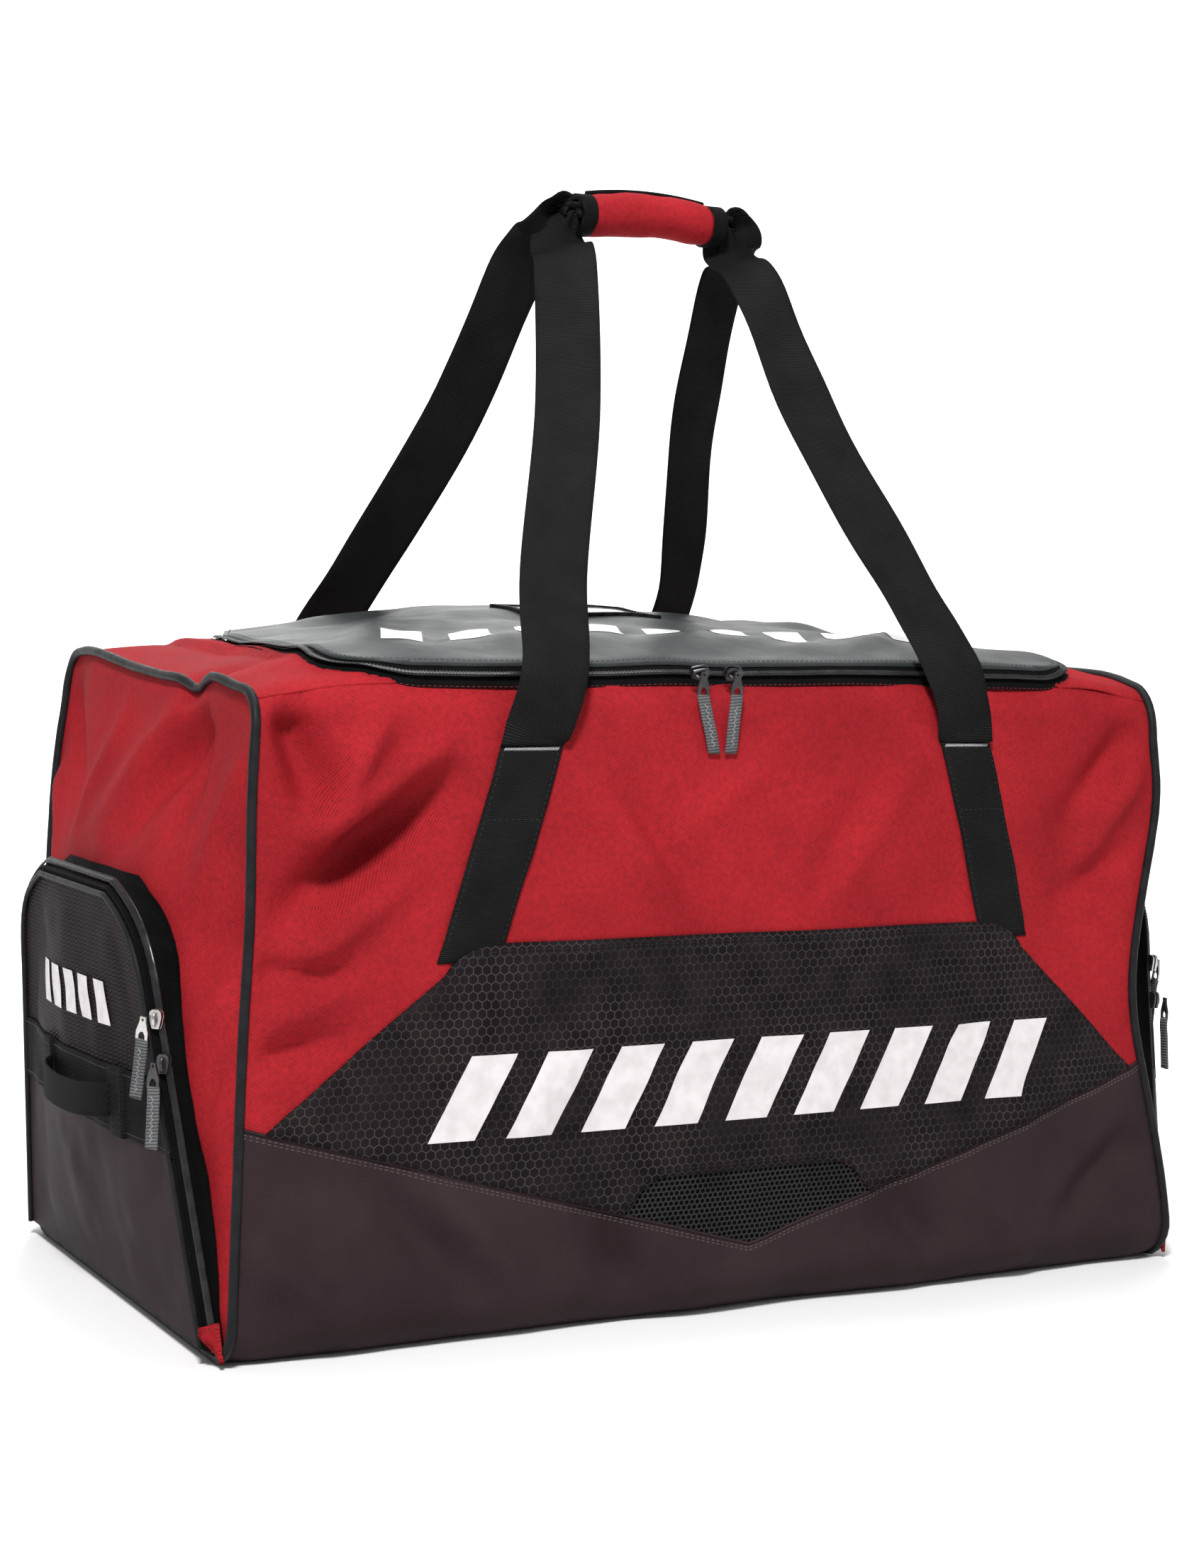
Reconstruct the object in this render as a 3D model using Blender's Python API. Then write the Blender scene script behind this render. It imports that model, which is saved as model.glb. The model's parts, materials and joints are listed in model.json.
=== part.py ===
"""Hockey equipment bag: a soft, filled duffel with a zipped lid, two carrying straps that meet in a padded
handle wrap, and a zipped skate pocket on each end. Metres, +Z up; the front faces -Y, the length runs
along X, and the origin is on the floor under the middle of the body."""

import math

import bmesh
import bpy
from mathutils import Matrix, Vector

# Driving dimensions of the body
LENGTH = 0.775  # between the end seams at the floor
TOP_LENGTH = 0.75
DEPTH = 0.45
HEIGHT = 0.46
TOP_RADIUS = 0.03  # of the long top edges
BOTTOM_RADIUS = 0.035
SIDE_BELLY = 0.008  # how far the filled front and back stand out at mid height
END_BELLY = 0.010
BACK_LEAN = 0.10  # share by which the back comes forward at the top
END_PINCH = 0.020  # how far the front right seam is drawn in at mid height

# Materials' thicknesses and the gap between touching pieces
CLOTH = 0.0025
OVERLAY = 0.0014
WEBBING = 0.0020
TAPE = 0.0012
GAP = 0.0004
LAYER_GAP = 0.0008  # under a piece that is sewn onto the curved face of another
SEAM_MARGIN = 0.0045  # from the body's corner to the edge of a panel, where the piping sits
PIPING_RADIUS = 0.0034
PIPING_SINK = 0.15  # share of its radius by which the piping sits below the corner
WEBBING_WIDTH = 0.048
PANEL_EDGE = LENGTH / 2 - SEAM_MARGIN
# How finely a panel follows a curved face, along its two directions
PANEL_STEP = (0.04, 0.04)
LOWER_STEP = (0.06, 0.012)
FLAT_STEP = (0.06, 0.06)
FLOOR_STEP = (0.15, 0.15)

# Front layout: heights are above the floor
SEAM_END = 0.160  # lower panel's seam at the ends
SEAM_APEX = 0.052  # and at its low point in the middle
OVERLAY_TOP = 0.276
OVERLAY_TOP_HALF = 0.215
OVERLAY_CORNER = 0.020
OVERLAY_SHOULDER = 0.030  # how much wider it is a corner's height below its top
OVERLAY_INSET = 0.012  # from the end of the panel to its lowest corner
VENT_TOP = 0.107
VENT_TOP_HALF = 0.078
VENT_HALF = 0.103

# Lid, in plan
LID_HALF = 0.315
LID_FRONT = -0.2055
LID_BACK = 0.190
LID_CORNER = 0.050
LID_CROWN = 0.022
ZIP_TAPE_WIDTH = 0.011
COIL_RADIUS = 0.003
COIL_INSET = 0.006  # from the lid's edge to the middle of the coil
WINDOW_CENTRE = (0.0, 0.065)
WINDOW_HALF = (0.057, 0.034)
WINDOW_THICKNESS = 0.0008
FRAME_RADIUS = 0.0014  # of the cord-like frame sewn round the window

# Carrying straps
TACK_HEIGHT = 0.410  # where a strap leaves the face
TACK_X = 0.183
TACK_GAP = 0.0012
STRAP_SLANT = 0.307  # sideways run of the sewn strap for each metre down
STRAP_STEPS = 21
STRAP_RISE = (0.014, 0.004, 0.050)  # inwards, outwards from the face and up, over the first stretch
STRAP_BULGES = (
    # share of the way up, how far out from the straight line it is in Y and along the bag
    (0.30, 0.016, 0.002),
    (0.60, 0.008, -0.004),
    (0.88, 0.008, 0.006),
)
STRAP_HANG = (0.012, 0.004, 0.021)  # where it starts to turn level: beyond the grip, outwards and down
STRAP_LEVEL = (0.0045, 0.0009)  # the last of the bend: beyond the grip and down
FOLD_START = 0.50  # share of the way up where the webbing begins to fold
FOLD_SPAN = 0.19
HANDLE_X = 0.025
HANDLE_Z = 0.806
HANDLE_HALF = 0.052
GRIP_WIDTH = 0.024
GRIP_THICKNESS = 0.0045
GRIP_OFFSET = 0.0035  # the front grip lies this far under the handle's middle, the back grip over it
WRAP_HALF = (0.0185, 0.0150)
WRAP_WALL = 0.0030
WRAP_LIP = 0.93  # how far back its slot's lips are, as a share of its half width
WRAP_SLOT = (0.0009, 0.0016)  # clearance of the slot below and above the back grip
BINDING_LENGTH = 0.009
BINDING_GROW = 0.0008
GRIP_REACH = HANDLE_HALF + BINDING_LENGTH + 0.003  # half length of the front grip
GRIP_STEP = 0.008  # the back grip lies over the front one, and bends down this much further out

# End pockets
POCKET_BOTTOM = 0.012
POCKET_TOP = 0.305
POCKET_BOTTOM_HALF = 0.205
POCKET_SHOULDER = (0.148, 0.240)  # half width and height where the round corner starts
POCKET_TOP_HALF = 0.095
POCKET_CORNER = (0.140, 0.283)  # half width and height that the round corner is drawn towards
CORNER_STEPS = 5
POCKET_OUT_BOTTOM = 0.3985  # distance of the pocket's rim from the middle of the bag
POCKET_OUT_TOP = 0.4280
POCKET_BELLY = 0.012
DOOR_STEP = (0.05, 0.05)
GUSSET_STEP = 0.06
BAND_BOTTOM = 0.135
BAND_TOP = 0.182
GRAB_HALF = 0.070
GRAB_CENTRE = -0.015
GRAB_OUT = 0.020
GRAB_WIDTH = 0.024
GRAB_STEPS = 10

# Sliders, pulls and tabs
SLIDER = (0.013, 0.0065, 0.0090)
PULL = (0.0090, 0.0016, 0.0180)
TAB = (0.0100, 0.0018, 0.0400)
SLIDER_TILT = math.radians(40)  # the lid's sliders sit on the rounded edge
SLIDER_BEVEL = 0.0012
PULL_HOOK = Vector((0, -0.0025, -0.0015))  # from a lid slider's outer face to its pull's axis
LID_PULL_TILT = math.radians(2)
LID_SLIDER_Y = LID_FRONT - 0.0125
LID_SLIDERS = {"left": -0.050, "right": -0.022}
POCKET_SLIDER = (0.0098, 0.0065, 0.0130)
POCKET_SLIDER_SINK = 0.002
POCKET_SLIDER_ASIDE = 0.007  # from the door's edge to the middle of a slider
PULL_OUT = 0.0060  # from the pocket's rim to the axis of a pull
POCKET_SLIDERS = {
    # height, how far back its pull hangs from its middle, the pull's lean towards the back, its metal
    "upper": (0.226, 0.003, math.radians(12), "silver_metal"),
    "lower": (0.197, -0.003, 0.0, "gunmetal"),
}

MATERIALS = {
    "red_fabric": ((0.42, 0.012, 0.020), 0.75, 0.0),
    "dark_fabric": ((0.035, 0.027, 0.029), 0.60, 0.0),
    "overlay_fabric": ((0.014, 0.011, 0.012), 0.55, 0.0),
    "mesh_fabric": ((0.010, 0.010, 0.010), 0.60, 0.0),
    "lid_tarpaulin": ((0.045, 0.050, 0.050), 0.30, 0.0),
    "window_vinyl": ((0.55, 0.57, 0.56), 0.10, 0.0),
    "black_webbing": ((0.012, 0.012, 0.013), 0.70, 0.0),
    "grey_webbing": ((0.14, 0.14, 0.15), 0.75, 0.0),
    "piping": ((0.030, 0.030, 0.033), 0.40, 0.0),
    "zip_black": ((0.010, 0.010, 0.011), 0.35, 0.0),
    "gunmetal": ((0.10, 0.10, 0.11), 0.30, 0.9),
    "silver_metal": ((0.45, 0.45, 0.46), 0.25, 1.0),
}


def clear_scene():
    for obj in list(bpy.data.objects):
        bpy.data.objects.remove(obj)


def material(name):
    made = bpy.data.materials.get(name)
    if made is None:
        colour, roughness, metallic = MATERIALS[name]
        made = bpy.data.materials.new(name)
        made.use_nodes = True
        shader = made.node_tree.nodes["Principled BSDF"]
        shader.inputs["Base Color"].default_value = (*colour, 1.0)
        shader.inputs["Roughness"].default_value = roughness
        shader.inputs["Metallic"].default_value = metallic
    return made


# The body's shape


def clamped(value):
    return min(max(value, 0.0), 1.0)


def smooth(value):
    share = clamped(value)
    return share * share * (3 - 2 * share)


def soften(x, y, z):
    """The shape that the filled bag takes from its flat pattern: bellied, and narrower at the top."""
    rise = clamped(z / HEIGHT)
    belly = math.sin(math.pi * rise)
    along = math.cos(math.pi * min(abs(x) / LENGTH, 0.5))
    across = math.cos(math.pi * min(abs(y) / DEPTH, 0.5))
    reach = x / (LENGTH / 2)
    depth = 1 + SIDE_BELLY / (DEPTH / 2) * belly * along
    if y > 0:
        depth *= 1 - BACK_LEAN * clamped((rise - 0.5) / 0.5) ** 2
    pinch = END_PINCH * max(reach, 0) ** 3 * clamped(-y / (DEPTH / 2)) * belly**2
    length = 1 - (1 - TOP_LENGTH / LENGTH) * rise
    return Vector((x * length + reach * END_BELLY * belly * across - pinch, y * depth, z))


def section(s):
    """The front half of the body's section: ((y, z), (outward y, outward z)). On the straight front s is
    the height, and beyond it s goes on round the top edge onto the roof, or round the bottom edge."""
    top = HEIGHT - TOP_RADIUS
    if s > top:
        turn = (s - top) / TOP_RADIUS
        flat = max(turn - math.pi / 2, 0) * TOP_RADIUS
        turn = min(turn, math.pi / 2)
        y = -DEPTH / 2 + TOP_RADIUS * (1 - math.cos(turn)) + flat
        return (y, top + TOP_RADIUS * math.sin(turn)), (-math.cos(turn), math.sin(turn))
    if s < BOTTOM_RADIUS:
        turn = (BOTTOM_RADIUS - s) / BOTTOM_RADIUS
        flat = max(turn - math.pi / 2, 0) * BOTTOM_RADIUS
        turn = min(turn, math.pi / 2)
        y = -DEPTH / 2 + BOTTOM_RADIUS * (1 - math.cos(turn)) + flat
        return (y, BOTTOM_RADIUS * (1 - math.sin(turn))), (-math.cos(turn), -math.sin(turn))
    return (-DEPTH / 2, s), (-1.0, 0.0)


def roof_reach(y):
    """How far along the section the roof line at this y lies."""
    inward = y + DEPTH / 2
    if inward < TOP_RADIUS:
        return HEIGHT - TOP_RADIUS + TOP_RADIUS * math.acos(1 - inward / TOP_RADIUS)
    return HEIGHT - TOP_RADIUS + TOP_RADIUS * math.pi / 2 + inward - TOP_RADIUS


def long_wall(side):
    """The front (side -1) or back (side 1) as a function of (x, s, distance out of the wall)."""

    def point(x, s, out):
        (y, z), (out_y, out_z) = section(s)
        return soften(x, -side * (y + out_y * out), z + out_z * out)

    return point


def end_wall(side):
    def point(y, z, out):
        return soften(side * (LENGTH / 2 + out), y, z)

    return point


def roof(x, y, out):
    side = -1 if y < 0 else 1
    return long_wall(side)(x, roof_reach(-abs(y)), out)


def floor(x, y, out):
    return soften(x, y, -out)


def seam_height(x):
    """Height of the seam between the lower panel and what lies above it."""
    return SEAM_APEX + (SEAM_END - SEAM_APEX) * abs(x) / (LENGTH / 2 - SEAM_MARGIN)


def lid_roof(x, y, out):
    """The lid's crowned surface over the roof."""
    middle = (LID_FRONT + LID_BACK) / 2
    half = (LID_BACK - LID_FRONT) / 2
    crown = LID_CROWN * (1 - clamped(abs(x) / LID_HALF) ** 2) * (1 - clamped(abs(y - middle) / half) ** 2)
    return roof(x, y, out) + Vector((0, 0, crown))


def pocket_rim(z):
    """Distance of the pocket's rim from the middle of the bag, at this height."""
    share = (z - POCKET_BOTTOM) / (POCKET_TOP - POCKET_BOTTOM)
    return POCKET_OUT_BOTTOM + (POCKET_OUT_TOP - POCKET_OUT_BOTTOM) * share


def pocket_wall(side):
    """The pocket door's outer surface as a function of (y, z, distance out of it)."""

    def point(y, z, out):
        rise = clamped((z - POCKET_BOTTOM) / (POCKET_TOP - POCKET_BOTTOM))
        width = POCKET_BOTTOM_HALF + (POCKET_TOP_HALF - POCKET_BOTTOM_HALF) * rise
        belly = POCKET_BELLY * math.sin(math.pi * rise) * math.cos(math.pi / 2 * clamped(abs(y) / width))
        return Vector((side * (pocket_rim(z) + belly + out), y, z))

    return point


# The places along the section where the top edge meets the roof, and the lower edge meets the floor
EDGE_TURN = TOP_RADIUS * math.pi / 2
ROOF_EDGE = HEIGHT - TOP_RADIUS + EDGE_TURN
UNDER_EDGE = BOTTOM_RADIUS * (1 - math.pi / 2)


# Shape helpers


def finished(name, mesh_data, surface, smooth_angle=math.radians(40)):
    """A named object from a bmesh, with its faces turned outwards."""
    bmesh.ops.remove_doubles(mesh_data, verts=mesh_data.verts, dist=1e-6)
    bmesh.ops.recalc_face_normals(mesh_data, faces=mesh_data.faces)
    mesh = bpy.data.meshes.new(name)
    mesh_data.to_mesh(mesh)
    mesh_data.free()
    mesh.shade_smooth()
    mesh.set_sharp_from_angle(angle=smooth_angle)
    mesh.materials.append(material(surface))
    obj = bpy.data.objects.new(name, mesh)
    bpy.context.scene.collection.objects.link(obj)
    return obj


def slab(name, outline, wall, inner, outer, surface, steps=FLAT_STEP):
    """A thin sheet on a wall: the outline in the wall's two coordinates, thickened from inner to outer."""
    flat = bmesh.new()
    flat.faces.new([flat.verts.new((u, v, 0)) for u, v in outline])
    for axis in (0, 1):
        values = [corner[axis] for corner in outline]
        count = max(math.ceil((max(values) - min(values)) / steps[axis]), 1)
        for index in range(1, count):
            place = min(values) + (max(values) - min(values)) * index / count
            bmesh.ops.bisect_plane(
                flat,
                geom=flat.verts[:] + flat.edges[:] + flat.faces[:],
                dist=1e-5,
                plane_co=(place, place, 0),
                plane_no=(1 - axis, axis, 0),
            )
    bmesh.ops.triangulate(flat, faces=flat.faces[:])
    made = bmesh.new()
    sheets = []
    for out in (inner, outer):
        sheets.append({vert: made.verts.new(wall(vert.co.x, vert.co.y, out)) for vert in flat.verts})
    for face in flat.faces:
        made.faces.new([sheets[0][vert] for vert in face.verts])
        made.faces.new([sheets[1][vert] for vert in reversed(face.verts)])
    for edge in flat.edges:
        if edge.is_boundary:
            a, b = edge.verts
            made.faces.new([sheets[0][a], sheets[0][b], sheets[1][b], sheets[1][a]])
    flat.free()
    return finished(name, made, surface)


def sweep(name, rings, surface, closed=False):
    """A solid through rings of points; an open one gets an end cap at each end."""
    made = bmesh.new()
    loops = [[made.verts.new(point) for point in ring] for ring in rings]
    count = len(loops[0])
    pairs = list(zip(loops, loops[1:]))
    if closed:
        pairs.append((loops[-1], loops[0]))
    else:
        made.faces.new(loops[0])
        made.faces.new(list(reversed(loops[-1])))
    for first, second in pairs:
        for i in range(count):
            j = (i + 1) % count
            made.faces.new([first[i], second[i], second[j], first[j]])
    return finished(name, made, surface)


def tube(name, points, radius, surface, sides=6, closed=False):
    rings = []
    count = len(points)
    for index, point in enumerate(points):
        before = points[index - 1] if index or closed else point
        after = points[(index + 1) % count] if index + 1 < count or closed else point
        along = (after - before).normalized()
        across = along.cross(Vector((0, 0, 1)))
        if across.length < 0.2:
            across = along.cross(Vector((0, 1, 0)))
        across.normalize()
        up = across.cross(along)
        rings.append(
            [
                point + radius * (math.cos(turn) * across + math.sin(turn) * up)
                for turn in (2 * math.pi * side / sides for side in range(sides))
            ]
        )
    return sweep(name, rings, surface, closed)


def ribbon(name, stations, surface, level_start=False):
    """Webbing through stations of (centre, direction of its width, width, thickness). It is cut square,
    or level at its start, where it meets a hinge line."""
    rings = []
    for index, (centre, across, width, thickness) in enumerate(stations):
        before = stations[max(index - 1, 0)][0]
        after = stations[min(index + 1, len(stations) - 1)][0]
        along = (after - before).normalized()
        normal = along.cross(across).normalized()
        across = Vector((1, 0, 0)) if level_start and index == 0 else normal.cross(along)
        half = across * width / 2
        rise = normal * thickness / 2
        rings.append([centre - half - rise, centre + half - rise, centre + half + rise, centre - half + rise])
    return sweep(name, rings, surface)


def plate(name, centre, size, surface, turn=None, bevel=0.0005):
    """A bevelled block: size along its own X, Y and Z, turned by a matrix, then placed."""
    made = bmesh.new()
    bmesh.ops.create_cube(made, size=1, matrix=Matrix.Diagonal((*size, 1)))
    bmesh.ops.bevel(made, geom=made.edges[:], offset=bevel, segments=1, affect="EDGES")
    place = Matrix.Translation(centre) @ (turn or Matrix.Identity(4))
    bmesh.ops.transform(made, matrix=place, verts=made.verts[:])
    return finished(name, made, surface)


def set_origin(obj, place):
    """Move the object's origin to a joint's axis and leave its shape where it is."""
    obj.data.transform(Matrix.Translation(-Vector(place)))
    obj.location = place


def arc(centre, radius, start, end, count):
    """Points on a circle between two angles in degrees."""
    turns = [math.radians(start + (end - start) * index / count) for index in range(count + 1)]
    return [(centre[0] + radius * math.cos(turn), centre[1] + radius * math.sin(turn)) for turn in turns]


def mirrored(outline):
    """The outline's points on the other side of the middle, in the order that goes on round it."""
    return [(-x, y) for x, y in reversed(outline)]


def spread(first, last, count):
    return [first + (last - first) * index / count for index in range(count + 1)]


# Body


def make_long_panels():
    """Front and back, each a red panel over a lower one; the front has a vent at the seam's low point."""
    seam = [(PANEL_EDGE, SEAM_END), (0, SEAM_APEX), (-PANEL_EDGE, SEAM_END)]
    vent = [(VENT_HALF, seam_height(VENT_HALF)), (VENT_TOP_HALF, VENT_TOP)]
    over_vent = seam[:1] + vent + mirrored(vent) + seam[-1:]
    make_long_panel("front", -1, roof_reach(LID_FRONT - ZIP_TAPE_WIDTH - 4 * GAP), over_vent)
    make_long_panel("back", 1, roof_reach(-LID_BACK - 2 * GAP), seam)
    mesh = [(VENT_HALF - GAP, vent[0][1] + 2 * GAP), (VENT_TOP_HALF - GAP, VENT_TOP - GAP)]
    mesh += mirrored(mesh) + [(0, SEAM_APEX + 2 * GAP)]
    slab("front_vent_mesh", mesh, long_wall(-1), -TAPE, 0, "mesh_fabric")


def make_long_panel(name, side, top, seam):
    """One long side's red panel, lower panel and overlay. The seam is the red panel's lower edge, and
    starts at its right end."""
    wall = long_wall(side)
    red = [(x, s + GAP) for x, s in seam] + [(-PANEL_EDGE, top), (PANEL_EDGE, top)]
    slab(f"{name}_panel", red, wall, -CLOTH, 0, "red_fabric", PANEL_STEP)
    lower = [(PANEL_EDGE, UNDER_EDGE), (-PANEL_EDGE, UNDER_EDGE)]
    lower += [(-PANEL_EDGE, SEAM_END - GAP), (0, SEAM_APEX - GAP), (PANEL_EDGE, SEAM_END - GAP)]
    slab(f"{name}_lower_panel", lower, wall, -CLOTH, 0, "dark_fabric", LOWER_STEP)
    base_x = PANEL_EDGE - OVERLAY_INSET
    overlay = [
        (base_x, seam_height(base_x) + GAP),
        (OVERLAY_TOP_HALF + OVERLAY_SHOULDER, OVERLAY_TOP - OVERLAY_CORNER),
        (OVERLAY_TOP_HALF, OVERLAY_TOP),
    ]
    overlay += mirrored(overlay) + [(x, s + GAP) for x, s in reversed(seam[1:-1])]
    slab(f"{name}_overlay", overlay, wall, LAYER_GAP, LAYER_GAP + OVERLAY, "overlay_fabric", PANEL_STEP)


def end_outline():
    """The outline of an end panel, inside the piping."""
    samples = [roof_reach(0), ROOF_EDGE, ROOF_EDGE - EDGE_TURN / 3, ROOF_EDGE - EDGE_TURN * 2 / 3]
    samples += [HEIGHT - TOP_RADIUS, BOTTOM_RADIUS, BOTTOM_RADIUS / 2, UNDER_EDGE / 2, UNDER_EDGE]
    front = []
    for s in samples:
        (y, z), (out_y, out_z) = section(s)
        front.append((y - out_y * SEAM_MARGIN, max(z - out_z * SEAM_MARGIN, SEAM_MARGIN + PIPING_RADIUS)))
    return front + [(-y, z) for y, z in reversed(front[1:])]


def make_ends():
    for name, side in (("left", -1), ("right", 1)):
        slab(f"{name}_end_panel", end_outline(), end_wall(side), -CLOTH, 0, "red_fabric")
        make_piping(name, side)


def make_piping(name, side):
    samples = spread(ROOF_EDGE, HEIGHT - TOP_RADIUS, 3)
    samples += spread(HEIGHT - TOP_RADIUS, BOTTOM_RADIUS, 6)[1:-1]
    samples += spread(BOTTOM_RADIUS, UNDER_EDGE, 3)
    sink = -PIPING_RADIUS * PIPING_SINK
    front = [long_wall(-1)(side * LENGTH / 2, s, sink) for s in samples]
    back = [long_wall(1)(side * LENGTH / 2, s, sink) for s in samples]
    points = front + back[::-1]
    for point in points:
        point.z = max(point.z, PIPING_RADIUS + GAP)
    tube(f"{name}_end_piping", points, PIPING_RADIUS, "piping", closed=True)


def make_bottom():
    half = DEPTH / 2 - BOTTOM_RADIUS - GAP
    outline = [(-PANEL_EDGE, -half), (PANEL_EDGE, -half), (PANEL_EDGE, half), (-PANEL_EDGE, half)]
    slab("bottom_panel", outline, floor, -CLOTH, 0, "dark_fabric", FLOOR_STEP)


# Lid and its zip


def lid_outline(grow):
    """The lid's outline in plan, grown outwards; it starts at the back right and ends at the back left."""
    right = [(LID_HALF + grow, LID_BACK)]
    right += arc((LID_HALF - LID_CORNER, LID_FRONT + LID_CORNER), LID_CORNER + grow, 0, -90, CORNER_STEPS)
    return right + mirrored(right)


def make_lid():
    slab("lid_panel", lid_outline(0), lid_roof, 0, CLOTH, "lid_tarpaulin")
    corners = [(-1, -1), (1, -1), (1, 1), (-1, 1)]
    window = frame_line(corners, 0)
    slab("card_window", window, lid_roof, CLOTH + GAP, CLOTH + GAP + WINDOW_THICKNESS, "window_vinyl")
    corners_and_middles = [(-1, -1), (0, -1), (1, -1), (1, 0), (1, 1), (0, 1), (-1, 1), (-1, 0)]
    height = CLOTH + GAP + 1.2 * FRAME_RADIUS
    frame = [lid_roof(x, y, height) for x, y in frame_line(corners_and_middles, 2 * FRAME_RADIUS)]
    tube("card_window_frame", frame, FRAME_RADIUS, "black_webbing", closed=True)


def frame_line(signs, grow):
    """Points round the card window, grown outwards, from their signs in X and Y."""
    x, y = WINDOW_CENTRE
    half_x, half_y = (half + grow for half in WINDOW_HALF)
    return [(x + sign_x * half_x, y + sign_y * half_y) for sign_x, sign_y in signs]


def make_lid_zip():
    inner = lid_outline(2 * GAP)
    outer = lid_outline(2 * GAP + ZIP_TAPE_WIDTH)
    slab("lid_zip_tape", inner + outer[::-1], roof, -TAPE, 0, "zip_black")
    points = [roof(x, y, GAP + COIL_RADIUS) for x, y in lid_outline(2 * GAP + COIL_INSET)]
    tube("lid_zip_coil", points, COIL_RADIUS, "zip_black")


def make_top_gussets():
    """The red top beside each end of the lid, from the zip tape to the end seam."""
    grow = 3 * GAP + ZIP_TAPE_WIDTH
    front = LID_FRONT - grow
    corner = lid_outline(grow)[: CORNER_STEPS + 1]
    for name, side in (("left", -1), ("right", 1)):
        outline = corner + [(corner[-1][0], front), (PANEL_EDGE, front), (PANEL_EDGE, LID_BACK)]
        slab(f"{name}_top_gusset", [(side * x, y) for x, y in outline], roof, -CLOTH, 0, "red_fabric")


# Carrying straps


def strap_x(s):
    return TACK_X + STRAP_SLANT * (TACK_HEIGHT - s)


def make_strap_bases():
    half = WEBBING_WIDTH / 2
    low = OVERLAY_TOP + GAP
    for name, wall_side in (("front", -1), ("back", 1)):
        for hand, side in (("left", -1), ("right", 1)):
            corners = [(low, -1), (low, 1), (TACK_HEIGHT, 1), (TACK_HEIGHT, -1)]
            outline = [(side * (strap_x(s) + edge * half), s) for s, edge in corners]
            wall = long_wall(wall_side)
            outer = LAYER_GAP + WEBBING
            slab(f"{name}_{hand}_strap_base", outline, wall, LAYER_GAP, outer, "black_webbing", PANEL_STEP)


def blended(points, share):
    """A point on a smooth curve through the points, share running from 0 to 1."""
    spans = len(points) - 1
    place = min(int(share * spans), spans - 1)
    t = share * spans - place
    before = points[max(place - 1, 0)]
    start, end = points[place], points[place + 1]
    after = points[min(place + 2, spans)]
    return 0.5 * (
        2 * start
        + (end - before) * t
        + (2 * before - 5 * start + 4 * end - after) * t**2
        + (3 * start - before - 3 * end + after) * t**3
    )


def strap_route(name, side, end):
    """The line of one free strap leg, from its bar tack to its end of the grip."""
    start = TACK_HEIGHT + TACK_GAP
    tack = long_wall(side)(end * strap_x(start), start, 2.5 * LAYER_GAP + WEBBING / 2)
    reach = GRIP_REACH + (GRIP_STEP if name == "back" else 0) + 8 * GAP
    grip = Vector((HANDLE_X + end * reach, 0, HANDLE_Z + side * GRIP_OFFSET))
    inwards, outwards, up = STRAP_RISE
    route = [tack, tack + Vector((-end * inwards, side * outwards, up))]
    for share, bulge, aside in STRAP_BULGES:
        route.append(tack.lerp(grip, share) + Vector((end * aside, side * bulge, 0)))
    beyond, outwards, down = STRAP_HANG
    route.append(grip + Vector((end * beyond, side * outwards, -down)))
    beyond, down = STRAP_LEVEL
    return route + [grip + Vector((end * beyond, 0, -down)), grip]


def make_strap_legs():
    """The free webbing from each bar tack up to the handle, where it narrows by folding and turns flat."""
    for name, side in (("front", -1), ("back", 1)):
        for hand, end in (("left", -1), ("right", 1)):
            route = strap_route(name, side, end)
            stations = []
            for share in spread(0, 1, STRAP_STEPS):
                fold = smooth((share - FOLD_START) / FOLD_SPAN)
                across = Vector((1, 0, end * STRAP_SLANT)) * (1 - fold) + Vector((0, -side * end, 0)) * fold
                width = WEBBING_WIDTH + (GRIP_WIDTH - WEBBING_WIDTH) * fold
                thickness = WEBBING + (GRIP_THICKNESS - WEBBING) * fold
                stations.append((blended(route, share), across, width, thickness))
            leg = ribbon(f"{name}_{hand}_strap_leg", stations, "black_webbing", level_start=True)
            set_origin(leg, strap_pivot(side))


def strap_pivot(side):
    """A point on the line that a strap swings about: the outer face of the sewn webbing at its tacks."""
    edge = long_wall(side)(TACK_X, TACK_HEIGHT, LAYER_GAP + WEBBING)
    return Vector((0, edge.y, TACK_HEIGHT))


def make_grips():
    for name, side in (("front", -1), ("back", 1)):
        level = HANDLE_Z + side * GRIP_OFFSET
        reach = GRIP_REACH + (GRIP_STEP if name == "back" else 0)
        ends = [Vector((HANDLE_X + end * reach, 0, level)) for end in (-1, 1)]
        stations = [(place, Vector((0, 1, 0)), GRIP_WIDTH, GRIP_THICKNESS) for place in ends]
        set_origin(ribbon(f"{name}_strap_grip", stations, "black_webbing"), strap_pivot(side))


def wrap_section(grow):
    """The wrap's section in (y, z), open at the back where the back grip slips out: a C drawn round."""
    below, above = WRAP_SLOT
    mouth_low = GRIP_OFFSET - GRIP_THICKNESS / 2 - below
    mouth_high = GRIP_OFFSET + GRIP_THICKNESS / 2 + above
    faces = []
    for half_y, half_z in ([value + grow for value in WRAP_HALF], [value - WRAP_WALL for value in WRAP_HALF]):
        turns = [math.radians(degrees) for degrees in range(45, 346, 30)]
        round_part = [(half_y * math.cos(turn), half_z * math.sin(turn)) for turn in turns]
        faces.append([(half_y * WRAP_LIP, mouth_high)] + round_part + [(half_y * WRAP_LIP, mouth_low)])
    return faces[0] + faces[1][::-1]


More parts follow.
